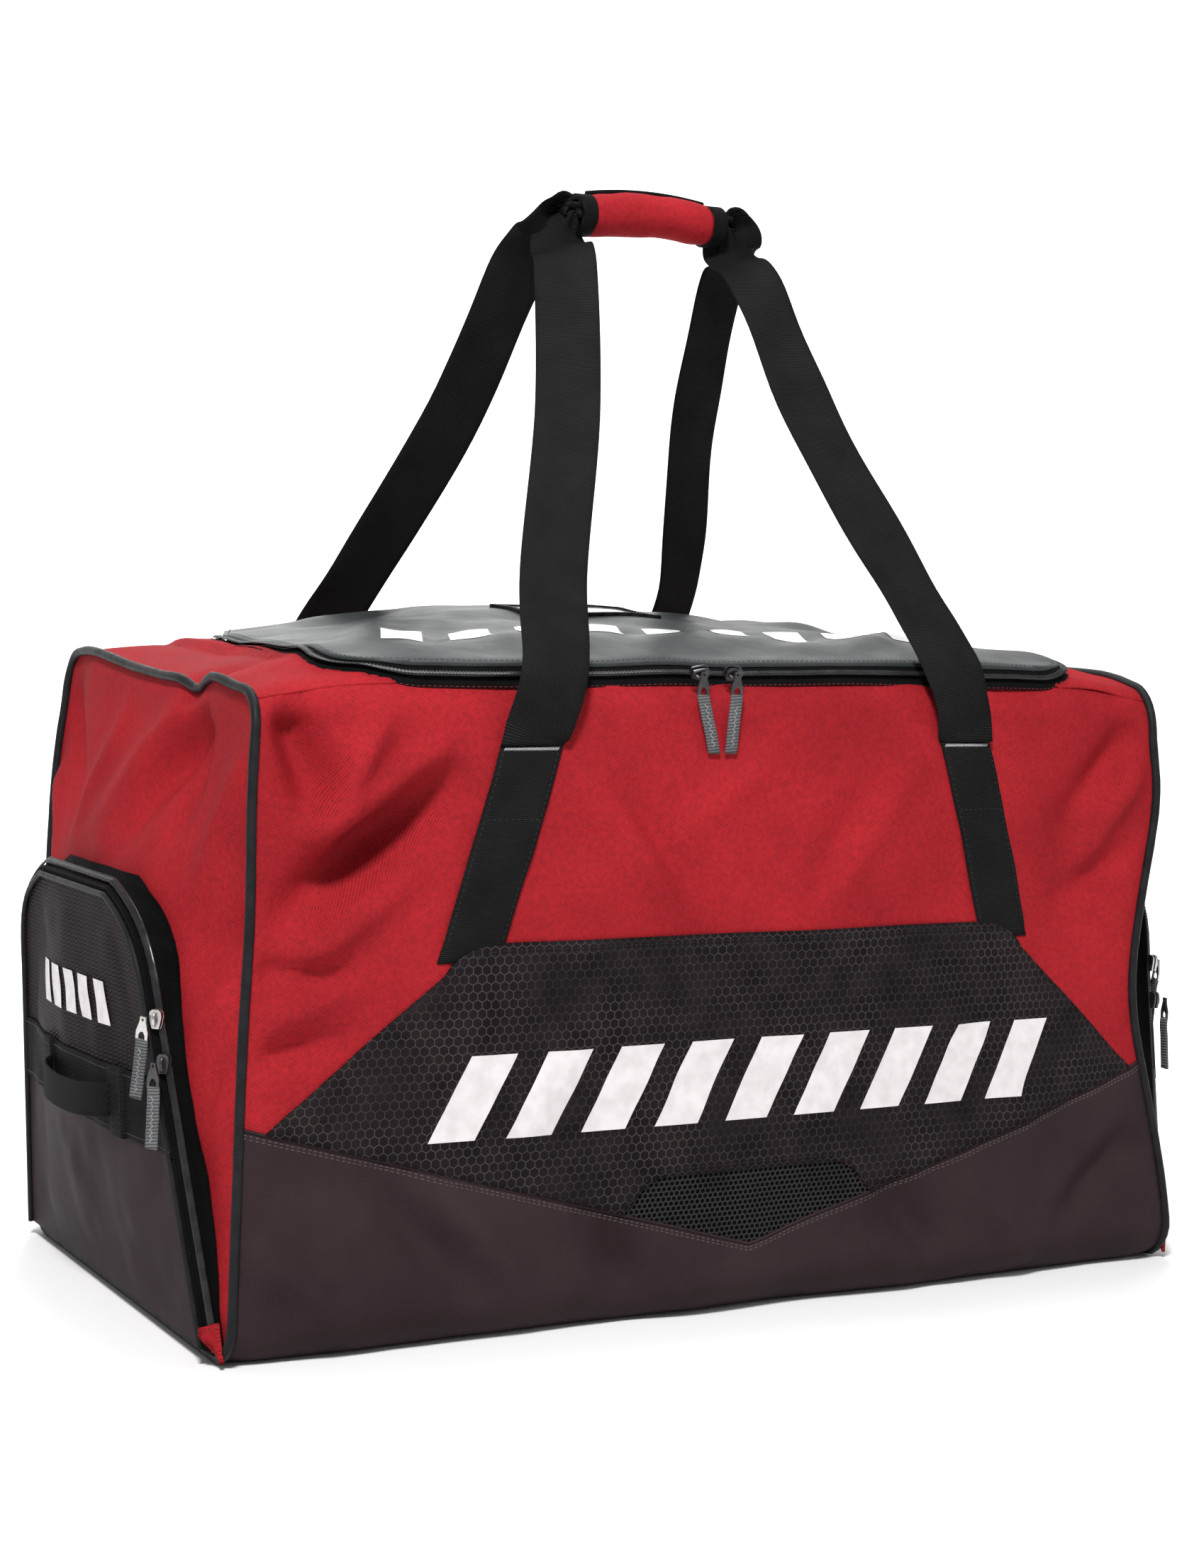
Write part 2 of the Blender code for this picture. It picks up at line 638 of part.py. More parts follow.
def make_wrap():
    near = HANDLE_HALF + GAP
    far = near + BINDING_LENGTH
    spans = {
        "handle_wrap": (-HANDLE_HALF, HANDLE_HALF, 0.0, "red_fabric"),
        "handle_wrap_left_binding": (-far, -near, BINDING_GROW, "black_webbing"),
        "handle_wrap_right_binding": (near, far, BINDING_GROW, "black_webbing"),
    }
    for name, (start, end, grow, surface) in spans.items():
        outline = wrap_section(grow)
        rings = [[Vector((HANDLE_X + x, y, HANDLE_Z + z)) for y, z in outline] for x in (start, end)]
        set_origin(sweep(name, rings, surface), strap_pivot(-1))


# End pockets


def pocket_outline(grow=0.0):
    """The pocket's outline in (y, z), from the bottom front round the top to the bottom back."""
    shoulder = (POCKET_SHOULDER[0] + grow, POCKET_SHOULDER[1])
    bend = (POCKET_CORNER[0] + grow, POCKET_CORNER[1] + grow)
    top = (POCKET_TOP_HALF, POCKET_TOP + grow)
    right = [(POCKET_BOTTOM_HALF + grow, POCKET_BOTTOM)]
    for t in spread(0, 1, CORNER_STEPS):
        weighted = list(zip(((1 - t) ** 2, 2 * t * (1 - t), t**2), (shoulder, bend, top)))
        right.append((sum(w * y for w, (y, _) in weighted), sum(w * z for w, (_, z) in weighted)))
    return mirrored(right[::-1]) + right[::-1]


def side_half_width(z):
    """Half the pocket's width at a height below its round corners."""
    share = (z - POCKET_BOTTOM) / (POCKET_SHOULDER[1] - POCKET_BOTTOM)
    return POCKET_BOTTOM_HALF + (POCKET_SHOULDER[0] - POCKET_BOTTOM_HALF) * share


def make_pocket(name, side):
    wall = pocket_wall(side)
    round_top = pocket_outline()[1:-1]
    pieces = {
        "upper_panel": ("mesh_fabric", level_edge(BAND_TOP + GAP) + round_top[::-1]),
        "band": ("black_webbing", level_edge(BAND_TOP)[::-1] + level_edge(BAND_BOTTOM)),
        "lower_panel": ("dark_fabric", level_edge(BAND_BOTTOM - GAP)[::-1] + level_edge(POCKET_BOTTOM)),
    }
    for piece, (surface, outline) in pieces.items():
        slab(f"{name}_pocket_{piece}", outline, wall, -CLOTH, 0, surface, DOOR_STEP)
    make_gusset(name, side)
    make_grab_handle(name, side)
    for piece in ("pocket_upper_panel", "pocket_band", "pocket_lower_panel", "grab_handle"):
        set_origin(bpy.data.objects[f"{name}_{piece}"], pocket_pivot(side))


def level_edge(z):
    """The door's two corners at this height, the front one first."""
    half = side_half_width(z)
    return [(-half, z), (half, z)]


def pocket_pivot(side):
    return Vector((side * POCKET_OUT_BOTTOM, 0, POCKET_BOTTOM))


def make_gusset(name, side):
    """The strip that stands out from the end panel and carries the zip, all round but the bottom."""
    surface = end_wall(side)
    rings = []
    for outer, inner in refined(list(zip(pocket_outline(GAP), pocket_outline(-TAPE)))):
        feet = [Vector((surface(y, z, 2 * GAP).x, y, z)) for y, z in (outer, inner)]
        lips = [Vector((side * (pocket_rim(z) - CLOTH - GAP), y, z)) for y, z in (outer, inner)]
        rings.append([feet[0], lips[0], lips[1], feet[1]])
    sweep(f"{name}_pocket_gusset", rings, "zip_black")


def refined(pairs):
    """The pairs of outline points, with more of them where they lie far apart."""
    found = []
    for first, second in zip(pairs, pairs[1:]):
        count = math.ceil(math.dist(first[0], second[0]) / GUSSET_STEP)
        for share in spread(0, 1, count)[:-1]:
            found.append(tuple(Vector(a).lerp(Vector(b), share) for a, b in zip(first, second)))
    return found + [pairs[-1]]


def make_grab_handle(name, side):
    """A webbing loop that stands out from the band."""
    wall = pocket_wall(side)
    height = (BAND_TOP + BAND_BOTTOM) / 2
    stations = []
    for share in spread(-1, 1, GRAB_STEPS):
        out = 2 * GAP + WEBBING / 2 + GRAB_OUT * math.sqrt(max(1 - abs(share) ** 3, 0))
        place = wall(GRAB_CENTRE + GRAB_HALF * share, height, out)
        stations.append((place, Vector((0, 0, 1)), GRAB_WIDTH, WEBBING))
    ribbon(f"{name}_grab_handle", stations, "black_webbing")


# Sliders with their pulls and tabs


def make_lid_sliders():
    """The two sliders on the front run of the lid's zip, with pulls and tabs that hang on the front."""
    for name, x in LID_SLIDERS.items():
        middle = roof(x, LID_SLIDER_Y, 2 * COIL_RADIUS + 3 * GAP + SLIDER[2] / 2)
        tilt = Matrix.Rotation(SLIDER_TILT, 4, "X")
        plate(f"lid_{name}_slider", middle, SLIDER, "gunmetal", tilt, SLIDER_BEVEL)
        pivot = lid_pull_pivot(x)
        hang = Matrix.Rotation(LID_PULL_TILT, 4, "X")
        down = hang @ Vector((0, 0, -1))
        pull = plate(f"lid_{name}_pull", pivot + down * PULL[2] / 2, PULL, "gunmetal", hang)
        tab = plate(f"lid_{name}_tab", pivot + down * (PULL[2] + GAP + TAB[2] / 2), TAB, "grey_webbing", hang)
        for moving in (pull, tab):
            set_origin(moving, pivot)


def lid_pull_pivot(x):
    """A point on the axis that a lid slider's pull swings about."""
    return roof(x, LID_SLIDER_Y, 2 * COIL_RADIUS + 5 * GAP + SLIDER[2]) + PULL_HOOK


def pocket_zip_point(side, z, out):
    """A point beside the straight front run of the pocket's zip, out along the length of the bag."""
    return Vector((side * (pocket_rim(z) + out), -side_half_width(z) - POCKET_SLIDER_ASIDE, z))


def make_pocket_sliders(name, side):
    for place, (z, _, lean, metal) in POCKET_SLIDERS.items():
        middle = pocket_zip_point(side, z, -POCKET_SLIDER_SINK)
        plate(f"{name}_pocket_{place}_slider", middle, POCKET_SLIDER, metal, None, SLIDER_BEVEL)
        hook = pocket_pull_pivot(side, place)
        hang = Matrix.Rotation(lean, 4, "X")
        down = hang @ Vector((0, 0, -1))
        low = hook + down * PULL[2] / 2
        pull = plate(f"{name}_pocket_{place}_pull", low, (PULL[1], PULL[0], PULL[2]), metal, hang)
        low = hook + down * (PULL[2] + GAP + TAB[2] / 2)
        tab = plate(f"{name}_pocket_{place}_tab", low, (TAB[1], TAB[0], TAB[2]), "grey_webbing", hang)
        for moving in (pull, tab):
            set_origin(moving, hook)


def pocket_pull_pivot(side, place):
    """A point on the axis that a pocket slider's pull swings about."""
    z, aside, _, _ = POCKET_SLIDERS[place]
    return pocket_zip_point(side, z, PULL_OUT) + Vector((0, aside, 0))


def main():
    clear_scene()
    make_long_panels()
    make_ends()
    make_bottom()
    make_lid()
    make_lid_zip()
    make_top_gussets()
    make_strap_bases()
    make_strap_legs()
    make_grips()
    make_wrap()
    for name, side in (("left", -1), ("right", 1)):
        make_pocket(name, side)
        make_pocket_sliders(name, side)
    make_lid_sliders()


main()
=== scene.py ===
import json
import math

import bmesh
import bpy
import numpy as np
from mathutils import Matrix, Vector
from mathutils.geometry import delaunay_2d_cdt


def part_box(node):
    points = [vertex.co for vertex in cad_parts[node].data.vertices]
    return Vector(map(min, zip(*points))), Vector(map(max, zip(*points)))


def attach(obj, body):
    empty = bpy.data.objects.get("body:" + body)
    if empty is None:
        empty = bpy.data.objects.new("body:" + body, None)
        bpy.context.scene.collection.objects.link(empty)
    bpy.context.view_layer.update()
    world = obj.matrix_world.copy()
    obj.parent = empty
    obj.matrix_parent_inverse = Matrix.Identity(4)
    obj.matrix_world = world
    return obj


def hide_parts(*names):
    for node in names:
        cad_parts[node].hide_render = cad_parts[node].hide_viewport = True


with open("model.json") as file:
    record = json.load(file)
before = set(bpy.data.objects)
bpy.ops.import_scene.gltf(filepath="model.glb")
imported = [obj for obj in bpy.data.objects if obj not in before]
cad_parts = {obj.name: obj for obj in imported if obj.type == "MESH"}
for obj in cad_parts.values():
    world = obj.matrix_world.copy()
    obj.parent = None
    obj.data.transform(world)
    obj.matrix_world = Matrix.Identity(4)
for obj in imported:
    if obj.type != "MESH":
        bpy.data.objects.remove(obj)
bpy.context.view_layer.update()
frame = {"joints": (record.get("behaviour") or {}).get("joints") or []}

# The looks of a hockey equipment bag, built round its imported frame. Metres, +Z up, the front faces -Y.
# The body's surface is worked out here as a few walls: each turns flat pattern places into points, and
# every panel, seam, strap and stitch takes its points from the same walls, so that they lie together.

# Thicknesses and gaps, as in the frame
GAP = 0.0004
SEAM_MARGIN = 0.0045  # from the bottom panel's edge to the end of the body
TOP_RADIUS = 0.030
BOTTOM_RADIUS = 0.035
PIPING_RADIUS = 0.0034
OVERLAY = 0.0014
WEBBING = 0.0020
LAYER_GAP = 0.0008
LOWER_OUT = 0.0009  # how far the lower panels' cloth stands out of the wall
BAND_OUT = 0.0016  # how far the webbing band stands out of the pocket's door
PATCH_OUT = 0.0040  # how far the patches over the grab handle's ends stand out of it
WEBBING_EDGE = 0.0007

# Driving dimensions, from the frame
FLOOR_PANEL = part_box("bottom_panel")[1]
ROOF_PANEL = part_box("right_top_gusset")[1]
LENGTH = 2 * (FLOOR_PANEL.x + SEAM_MARGIN)
TOP_LENGTH = LENGTH * ROOF_PANEL.x / FLOOR_PANEL.x
DEPTH = 2 * (FLOOR_PANEL.y + BOTTOM_RADIUS + GAP)
HEIGHT = ROOF_PANEL.z

# How the filled bag departs from its flat pattern
SIDE_BELLY = 0.008
END_BELLY = 0.010
BACK_LEAN = 0.10  # how far the back's top leans in, as a share of half the depth
END_PINCH = 0.034  # how far the right end's front edge is drawn in
TUCK = 0.0020  # how far under the piping a panel's edge lies
EDGE_GROOVE = 0.0022  # depth of the valley that a seam pulls along a panel's edge
EDGE_GROOVE_WIDTH = 0.011
FOLD_GAIN = 2.4  # what the heights in the lists of folds are multiplied by
GUSSET_RISE = 0.007  # how far the filled top stands above its seams beside the lid
ZIP_RISE = 0.0065  # how far the lid's zip stands above the seam in front of it
POCKET_SKIRT = 0.020  # how far the filled pocket draws the end's cloth out round its top

# Front layout, in heights and in distances from the middle
SEAM_END = 0.160
SEAM_APEX = 0.052
OVERLAY_TOP = 0.276
OVERLAY_TOP_HALF = 0.215
OVERLAY_CORNER = 0.020
OVERLAY_SHOULDER = 0.030
OVERLAY_INSET = 0.012
VENT_TOP = 0.107
VENT_TOP_HALF = 0.078
VENT_HALF = 0.103

# Lid
LID_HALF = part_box("lid_panel")[1].x / (ROOF_PANEL.x / FLOOR_PANEL.x)
LID_FRONT = -0.2055
LID_BACK = 0.190
LID_CORNER = 0.050
LID_CROWN = 0.029
LID_CROWN_PEAK = 0.85  # how far back the crown is highest, as a share of the lid's width
LID_TAPER = 0.055  # how far in the lid's short edges lean towards its hinge
LID_THICKNESS = 0.0016
ZIP_TAPE_WIDTH = 0.011
TAPE_LAP = 0.8  # how much of the zip tape the red cloth leaves bare
COIL_INSET = 0.006
WINDOW_CENTRE = (0.0, 0.065)
WINDOW_HALF = (0.057, 0.034)

# Straps
TACK_HEIGHT = 0.410
TACK_X = 0.183
TACK_GAP = 0.0012
STRAP_SLANT = 0.307  # sideways run of the sewn strap for each metre down
STRAP_WIDTH = 0.048
WRAP_LOW, WRAP_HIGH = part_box("handle_wrap")
HANDLE_X = (WRAP_LOW.x + WRAP_HIGH.x) / 2
HANDLE_Z = (WRAP_LOW.z + WRAP_HIGH.z) / 2
HANDLE_HALF = (WRAP_HIGH.x - WRAP_LOW.x) / 2
GRIP_WIDTH = 0.024
GRIP_THICKNESS = 0.0045
GRIP_OFFSET = 0.0035
GRIP_STEP = 0.008
BINDING_LENGTH = 0.009
GRIP_REACH = HANDLE_HALF + BINDING_LENGTH + 0.003
# A leg's route: its first rise, then bulges at shares of the way, then how it hangs under its grip
STRAP_RISE = (0.014, 0.004, 0.050)
STRAP_BULGES = ((0.30, 0.016, 0.002), (0.60, 0.008, -0.004), (0.88, 0.008, 0.006))
STRAP_HANG = (0.012, 0.004, 0.021)
STRAP_LEVEL = (0.0045, 0.0009)
FOLD_START = 0.62  # where along a leg its fold begins
FOLD_SPAN = 0.30  # over what share of the leg it folds
FOLD_CLOSING = 0.80  # how far it closes before it meets the grip

# End pockets
POCKET_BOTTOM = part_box("left_pocket_lower_panel")[0].z
POCKET_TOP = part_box("left_pocket_upper_panel")[1].z
POCKET_BOTTOM_HALF = 0.205
POCKET_SHOULDER = (0.152, 0.222)  # where its straight side ends: distance from the middle, and height
POCKET_CORNER = (0.143, 0.283)  # what its round corner is drawn towards
POCKET_TOP_HALF = 0.078
POCKET_OUT_BOTTOM = 0.3985
POCKET_OUT_TOP = 0.4280
POCKET_BELLY = 0.012
BAND_BOTTOM = 0.135
BAND_TOP = 0.182
GRAB_HALF = 0.062
GRAB_CENTRE = -0.015
GRAB_OUT = 0.014
GRAB_WIDTH = 0.024

SIDES = {"left": -1, "right": 1}
FACES = {"front": -1, "back": 1}
PANEL_STEP = 0.0065  # spacing of the points of a sheet


# Numbers and noise


def smooth(value):
    """0 below 0 and 1 above 1, with a soft passage between."""
    share = np.clip(value, 0.0, 1.0)
    return share * share * (3 - 2 * share)


def wander(u, v, size, seed):
    """Smooth random waves about size across, from -1 to 1, the same on every run."""
    cells = np.random.default_rng(seed).uniform(-1, 1, (64, 64))
    a = np.asarray(u, float) / size + 20.37
    b = np.asarray(v, float) / size + 20.71
    i, j = np.floor(a).astype(int), np.floor(b).astype(int)
    s, t = smooth(a - i), smooth(b - j)
    near = cells[i % 64, j % 64] * (1 - s) + cells[(i + 1) % 64, j % 64] * s
    far = cells[i % 64, (j + 1) % 64] * (1 - s) + cells[(i + 1) % 64, (j + 1) % 64] * s
    return near * (1 - t) + far * t


def fold(u, v, start, end, width, height, peak=0.5):
    """The height of a fold at (u, v). It runs from start to end, fades at both, and is highest at peak."""
    du, dv = end[0] - start[0], end[1] - start[1]
    length = math.hypot(du, dv)
    along = ((u - start[0]) * du + (v - start[1]) * dv) / length**2
    across = ((v - start[1]) * du - (u - start[0]) * dv) / length / width
    power = math.log(0.5) / math.log(peak)
    fade = np.sin(math.pi * np.clip(along, 0, 1) ** power)
    return height * fade * np.exp(-(across**2))


def folds(u, v, rows):
    """The height of all the folds of a list together."""
    return sum(fold(u, v, *row) for row in rows)


# The body's walls


def soften(x, y, z):
    """The shape that the filled bag takes from its flat pattern, with its dents."""
    rise = np.clip(z / HEIGHT, 0, 1)
    belly = np.sin(math.pi * rise)
    along = np.cos(math.pi * np.minimum(np.abs(x) / LENGTH, 0.5))
    across = np.cos(math.pi * np.minimum(np.abs(y) / DEPTH, 0.5))
    reach = x / (LENGTH / 2)
    depth = 1 + SIDE_BELLY / (DEPTH / 2) * belly * along
    depth = depth * np.where(y > 0, 1 - BACK_LEAN * np.clip((rise - 0.5) / 0.5, 0, 1) ** 2, 1)
    pinch = END_PINCH * np.maximum(reach, 0) ** 3 * np.clip(-y / (DEPTH / 2), 0, 1) * belly**2
    length = 1 - (1 - TOP_LENGTH / LENGTH) * rise
    points = np.stack([x * length + reach * END_BELLY * belly * across - pinch, y * depth, z], axis=-1)
    return dented(points)


# Where the soft body is pushed in: place, reach in each direction, and how far it moves
DENTS = (
    ((-0.385, -0.100, 0.462), (0.050, 0.024, 0.060), (0.006, 0.008, -0.0110)),
    ((-0.385, -0.040, 0.462), (0.070, 0.090, 0.060), (0.002, 0.0, -0.0090)),
    ((-0.385, 0.150, 0.462), (0.090, 0.070, 0.060), (0.0, 0.0, 0.0060)),
    ((-0.385, -0.200, 0.462), (0.060, 0.050, 0.055), (0.004, 0.005, -0.0120)),
    ((-0.390, -0.080, 0.400), (0.040, 0.055, 0.045), (0.008, 0.0, 0.0)),
    ((-0.385, -0.230, 0.300), (0.030, 0.040, 0.060), (0.003, 0.002, 0.0)),
    ((0.375, -0.225, 0.440), (0.060, 0.060, 0.060), (-0.014, 0.006, -0.013)),
    ((0.375, -0.230, 0.215), (0.040, 0.040, 0.050), (-0.004, 0.003, 0.0)),
    ((0.385, 0.100, 0.462), (0.050, 0.040, 0.050), (-0.003, 0.0, -0.007)),
    ((-0.385, 0.195, 0.440), (0.050, 0.050, 0.050), (0.004, -0.003, -0.004)),
    ((0.0, 0.215, 0.455), (0.140, 0.050, 0.050), (0.0, -0.003, -0.003)),
    ((-0.200, -0.225, 0.452), (0.090, 0.030, 0.030), (0.0, 0.002, -0.0025)),
    ((0.230, -0.225, 0.452), (0.070, 0.030, 0.030), (0.0, 0.002, -0.0030)),
)


def dented(points):
    """The points moved by the dents, with the piping and all that is sewn to the walls."""
    moved = points.copy()
    for place, reach, push in DENTS:
        away = np.sum(((points - np.array(place)) / np.array(reach)) ** 2, axis=-1)
        moved += np.exp(-away)[..., None] * np.array(push)
    moved[..., 2] = np.maximum(moved[..., 2], 0.0)
    return moved


def section(s):
    """The front half of the body's section: y, z, and the outward y and z. On the straight front s is the
    height, and beyond it s goes on round the top edge onto the roof, or round the bottom edge."""
    top = HEIGHT - TOP_RADIUS
    over = s > top
    under = s < BOTTOM_RADIUS
    turn = np.where(over, (s - top) / TOP_RADIUS, np.where(under, (BOTTOM_RADIUS - s) / BOTTOM_RADIUS, 0.0))
    radius = np.where(over, TOP_RADIUS, BOTTOM_RADIUS)
    flat = np.maximum(turn - math.pi / 2, 0) * radius
    turn = np.minimum(turn, math.pi / 2)
    sign = np.where(over, 1.0, -1.0)
    y = -DEPTH / 2 + radius * (1 - np.cos(turn)) + flat
    z = np.where(over, top, np.where(under, BOTTOM_RADIUS, s)) + sign * radius * np.sin(turn)
    return y, z, -np.cos(turn), sign * np.sin(turn)


def roof_reach(y):
    """How far along the section the roof line at this y lies."""
    inward = y + DEPTH / 2
    edge = HEIGHT - TOP_RADIUS + TOP_RADIUS * np.arccos(np.clip(1 - inward / TOP_RADIUS, -1, 1))
    return np.where(inward < TOP_RADIUS, edge, ROOF_EDGE + inward - TOP_RADIUS)


EDGE_TURN = TOP_RADIUS * math.pi / 2
ROOF_EDGE = HEIGHT - TOP_RADIUS + EDGE_TURN
UNDER_EDGE = BOTTOM_RADIUS * (1 - math.pi / 2)
BODY_EDGE = LENGTH / 2 - TUCK

# Folds of the front, in its own places along the length and up the face: start, end, width, height, peak
FRONT_FOLDS = (
    # the pocket of folds below the top left corner
    ((-0.366, 0.452), (-0.330, 0.350), 0.015, -0.0115, 0.35),
    ((-0.285, 0.446), (-0.348, 0.345), 0.012, 0.0085, 0.60),
    ((-0.352, 0.345), (-0.235, 0.416), 0.011, 0.0080, 0.40),
    ((-0.376, 0.290), (-0.225, 0.398), 0.018, -0.0135, 0.55),
    ((-0.372, 0.255), (-0.260, 0.335), 0.014, 0.0062, 0.45),
    # small pulls along the left piping
    ((-0.382, 0.264), (-0.305, 0.262), 0.008, -0.0046, 0.30),
    ((-0.382, 0.228), (-0.295, 0.252), 0.008, 0.0036, 0.30),
    ((-0.382, 0.205), (-0.295, 0.222), 0.008, -0.0046, 0.30),
    # long soft folds between the straps
    ((-0.140, 0.395), (-0.060, 0.285), 0.010, 0.0022, 0.45),
    ((-0.118, 0.395), (-0.040, 0.290), 0.009, -0.0026, 0.45),
    ((-0.080, 0.330), (0.040, 0.420), 0.014, 0.0018, 0.50),
    ((0.035, 0.280), (0.110, 0.400), 0.013, -0.0020, 0.50),
    ((0.060, 0.290), (0.160, 0.425), 0.012, 0.0018, 0.50),
    # below the top right corner
    ((0.372, 0.435), (0.270, 0.330), 0.016, -0.0060, 0.35),
    ((0.372, 0.400), (0.290, 0.300), 0.013, 0.0040, 0.35),
    ((0.370, 0.330), (0.270, 0.285), 0.012, -0.0036, 0.40),
    ((0.370, 0.270), (0.290, 0.300), 0.010, 0.0028, 0.35),
    # the overlay's creases
    ((0.110, 0.270), (0.190, 0.190), 0.009, 0.0020, 0.40),
    ((0.150, 0.272), (0.225, 0.190), 0.009, -0.0020, 0.40),
    ((-0.200, 0.130), (-0.120, 0.230), 0.012, 0.0014, 0.50),
    ((0.200, 0.120), (0.330, 0.165), 0.010, 0.0020, 0.50),
    # the lower panel's slack
    ((-0.300, 0.128), (-0.210, 0.025), 0.014, -0.0056, 0.45),
    ((-0.262, 0.130), (-0.160, 0.020), 0.015, 0.0046, 0.50),
    ((-0.140, 0.090), (-0.080, 0.006), 0.016, -0.0042, 0.50),
    ((0.110, 0.090), (0.180, 0.010), 0.016, -0.0046, 0.50),
    ((0.170, 0.100), (0.260, 0.012), 0.016, 0.0042, 0.50),
    ((0.370, 0.110), (0.270, 0.030), 0.014, -0.0052, 0.40),
    ((-0.380, 0.085), (-0.300, 0.020), 0.014, 0.0046, 0.40),
)
BACK_FOLDS = (
    ((-0.370, 0.430), (-0.270, 0.330), 0.016, -0.0070, 0.35),
    ((-0.372, 0.390), (-0.290, 0.290), 0.014, 0.0045, 0.35),
    ((0.370, 0.440), (0.290, 0.320), 0.015, -0.0065, 0.35),
    ((0.330, 0.440), (0.240, 0.330), 0.013, 0.0045, 0.40),
    ((-0.080, 0.420), (0.020, 0.290), 0.014, -0.0026, 0.50),
    ((-0.040, 0.425), (0.070, 0.290), 0.013, 0.0024, 0.50),
    ((0.130, 0.300), (0.060, 0.425), 0.013, -0.0022, 0.50),
    ((-0.310, 0.120), (-0.200, 0.030), 0.015, -0.0036, 0.45),
    ((0.300, 0.120), (0.190, 0.030), 0.015, -0.0034, 0.45),
    ((-0.060, 0.080), (0.040, 0.015), 0.014, 0.0028, 0.50),
)
# Folds of the ends, in places across and up: start, end, width, height, peak
END_FOLDS = (
    ((-0.120, 0.455), (0.060, 0.330), 0.020, 0.0060, 0.25),
    ((-0.125, 0.440), (-0.010, 0.310), 0.014, -0.0055, 0.25),
    ((-0.130, 0.430), (-0.120, 0.330), 0.014, -0.0035, 0.35),
    ((-0.205, 0.410), (-0.150, 0.290), 0.016, 0.0042, 0.40),
    ((-0.218, 0.300), (-0.150, 0.255), 0.011, -0.0034, 0.35),
    ((-0.218, 0.255), (-0.165, 0.215), 0.010, 0.0030, 0.35),
    ((-0.216, 0.215), (-0.175, 0.160), 0.010, -0.0026, 0.35),
    ((0.205, 0.430), (0.090, 0.330), 0.018, -0.0050, 0.35),
    ((0.215, 0.370), (0.120, 0.290), 0.014, 0.0040, 0.35),
    ((0.020, 0.440), (0.100, 0.320), 0.016, 0.0030, 0.50),
)


def seam_valley(distance):
    """The valley that a seam pulls in a panel, this far from its edge."""
    return -EDGE_GROOVE * np.exp(-((distance / EDGE_GROOVE_WIDTH) ** 2))


def long_relief(side, x, s):
    """How far the filled front or back stands out from its plain shape."""
    rows = FRONT_FOLDS if side < 0 else BACK_FOLDS
    seed = 3 if side < 0 else 4
    near_end = LENGTH / 2 - np.abs(x)
    hold = smooth(near_end / 0.020) * smooth((ROOF_EDGE - s) / 0.050) * smooth((s + 0.015) / 0.040)
    height = FOLD_GAIN * folds(x, s, rows)
    height = height + 0.0036 * wander(x, s, 0.085, seed) + 0.0011 * wander(x + 0.6 * s, s, 0.028, seed + 20)
    # the seam over the lower panel puckers, and the cloth below it bulges towards the floor
    seam = np.abs(s - seam_height(x)) / 0.010
    height = height + 0.0016 * np.exp(-(seam**2)) * wander(x, 0 * x, 0.018, seed + 40)
    bulge = 0.0022 * np.exp(-(((s - 0.018) / 0.026) ** 2)) * (1 + 0.8 * wander(x, 0 * x, 0.060, seed + 60))
    height = height - 0.0012 * smooth((ROOF_EDGE - s) / 0.02) * np.exp(-(((s - HEIGHT) / 0.02) ** 2))
    return height * hold + bulge * smooth(near_end / 0.030) + seam_valley(near_end)


def long_wall(side):
    """The front (side -1) or back (side 1) as a function of (x, s, distance out of the wall)."""

    def point(x, s, out=0.0):
        x, s = np.asarray(x, float), np.asarray(s, float)
        y, z, out_y, out_z = section(s)
        lift = out + long_relief(side, x, s)
        return soften(x, -side * (y + out_y * lift), z + out_z * lift)

    return point


def pocket_skirt(y, z):
    """How far the filled pocket draws the end's cloth out, most round its top edge."""
    rise = np.clip(z / POCKET_TOP, 0, 1)
    width = POCKET_BOTTOM_HALF + (POCKET_SHOULDER[0] - POCKET_BOTTOM_HALF) * rise
    away = ((np.abs(y) / width) ** 4 + (np.maximum(z, 0) / POCKET_TOP) ** 4) ** 0.25 - 1
    return POCKET_SKIRT * rise**1.5 * np.exp(-((np.maximum(away, 0) / 0.24) ** 2))


def end_relief(side, y, z):
    """How far the filled end stands out from its plain shape."""
    near = np.minimum(np.minimum(DEPTH / 2 - np.abs(y), HEIGHT - z), z + 0.010)
    hold = smooth(near / 0.022)
    height = FOLD_GAIN * (folds(y, z, END_FOLDS) if side < 0 else folds(-y, z, END_FOLDS))
    height = height + 0.0026 * wander(y, z, 0.080, 7 + side)
    height = height + 0.0008 * wander(y, z + 0.5 * y, 0.025, 27 + side)
    return (height + pocket_skirt(y, z)) * hold + seam_valley(near)


def end_wall(side):
    """The left (side -1) or right (side 1) end as a function of (y, z, distance out of the wall)."""

    def point(y, z, out=0.0):
        y, z = np.asarray(y, float), np.asarray(z, float)
        lift = out + end_relief(side, y, z)
        return soften(side * (LENGTH / 2 + lift), y, z)

    return point


def inside_lid(x, y):
    """How far inside the outer edge of the lid's zip tape a place in plan lies."""
    corner = LID_CORNER + ZIP_TAPE_WIDTH
    along = np.maximum(np.abs(x) - (LID_HALF - LID_CORNER), 0)
    across = np.maximum(LID_FRONT + LID_CORNER - y, 0)
    return corner - np.hypot(along, across)


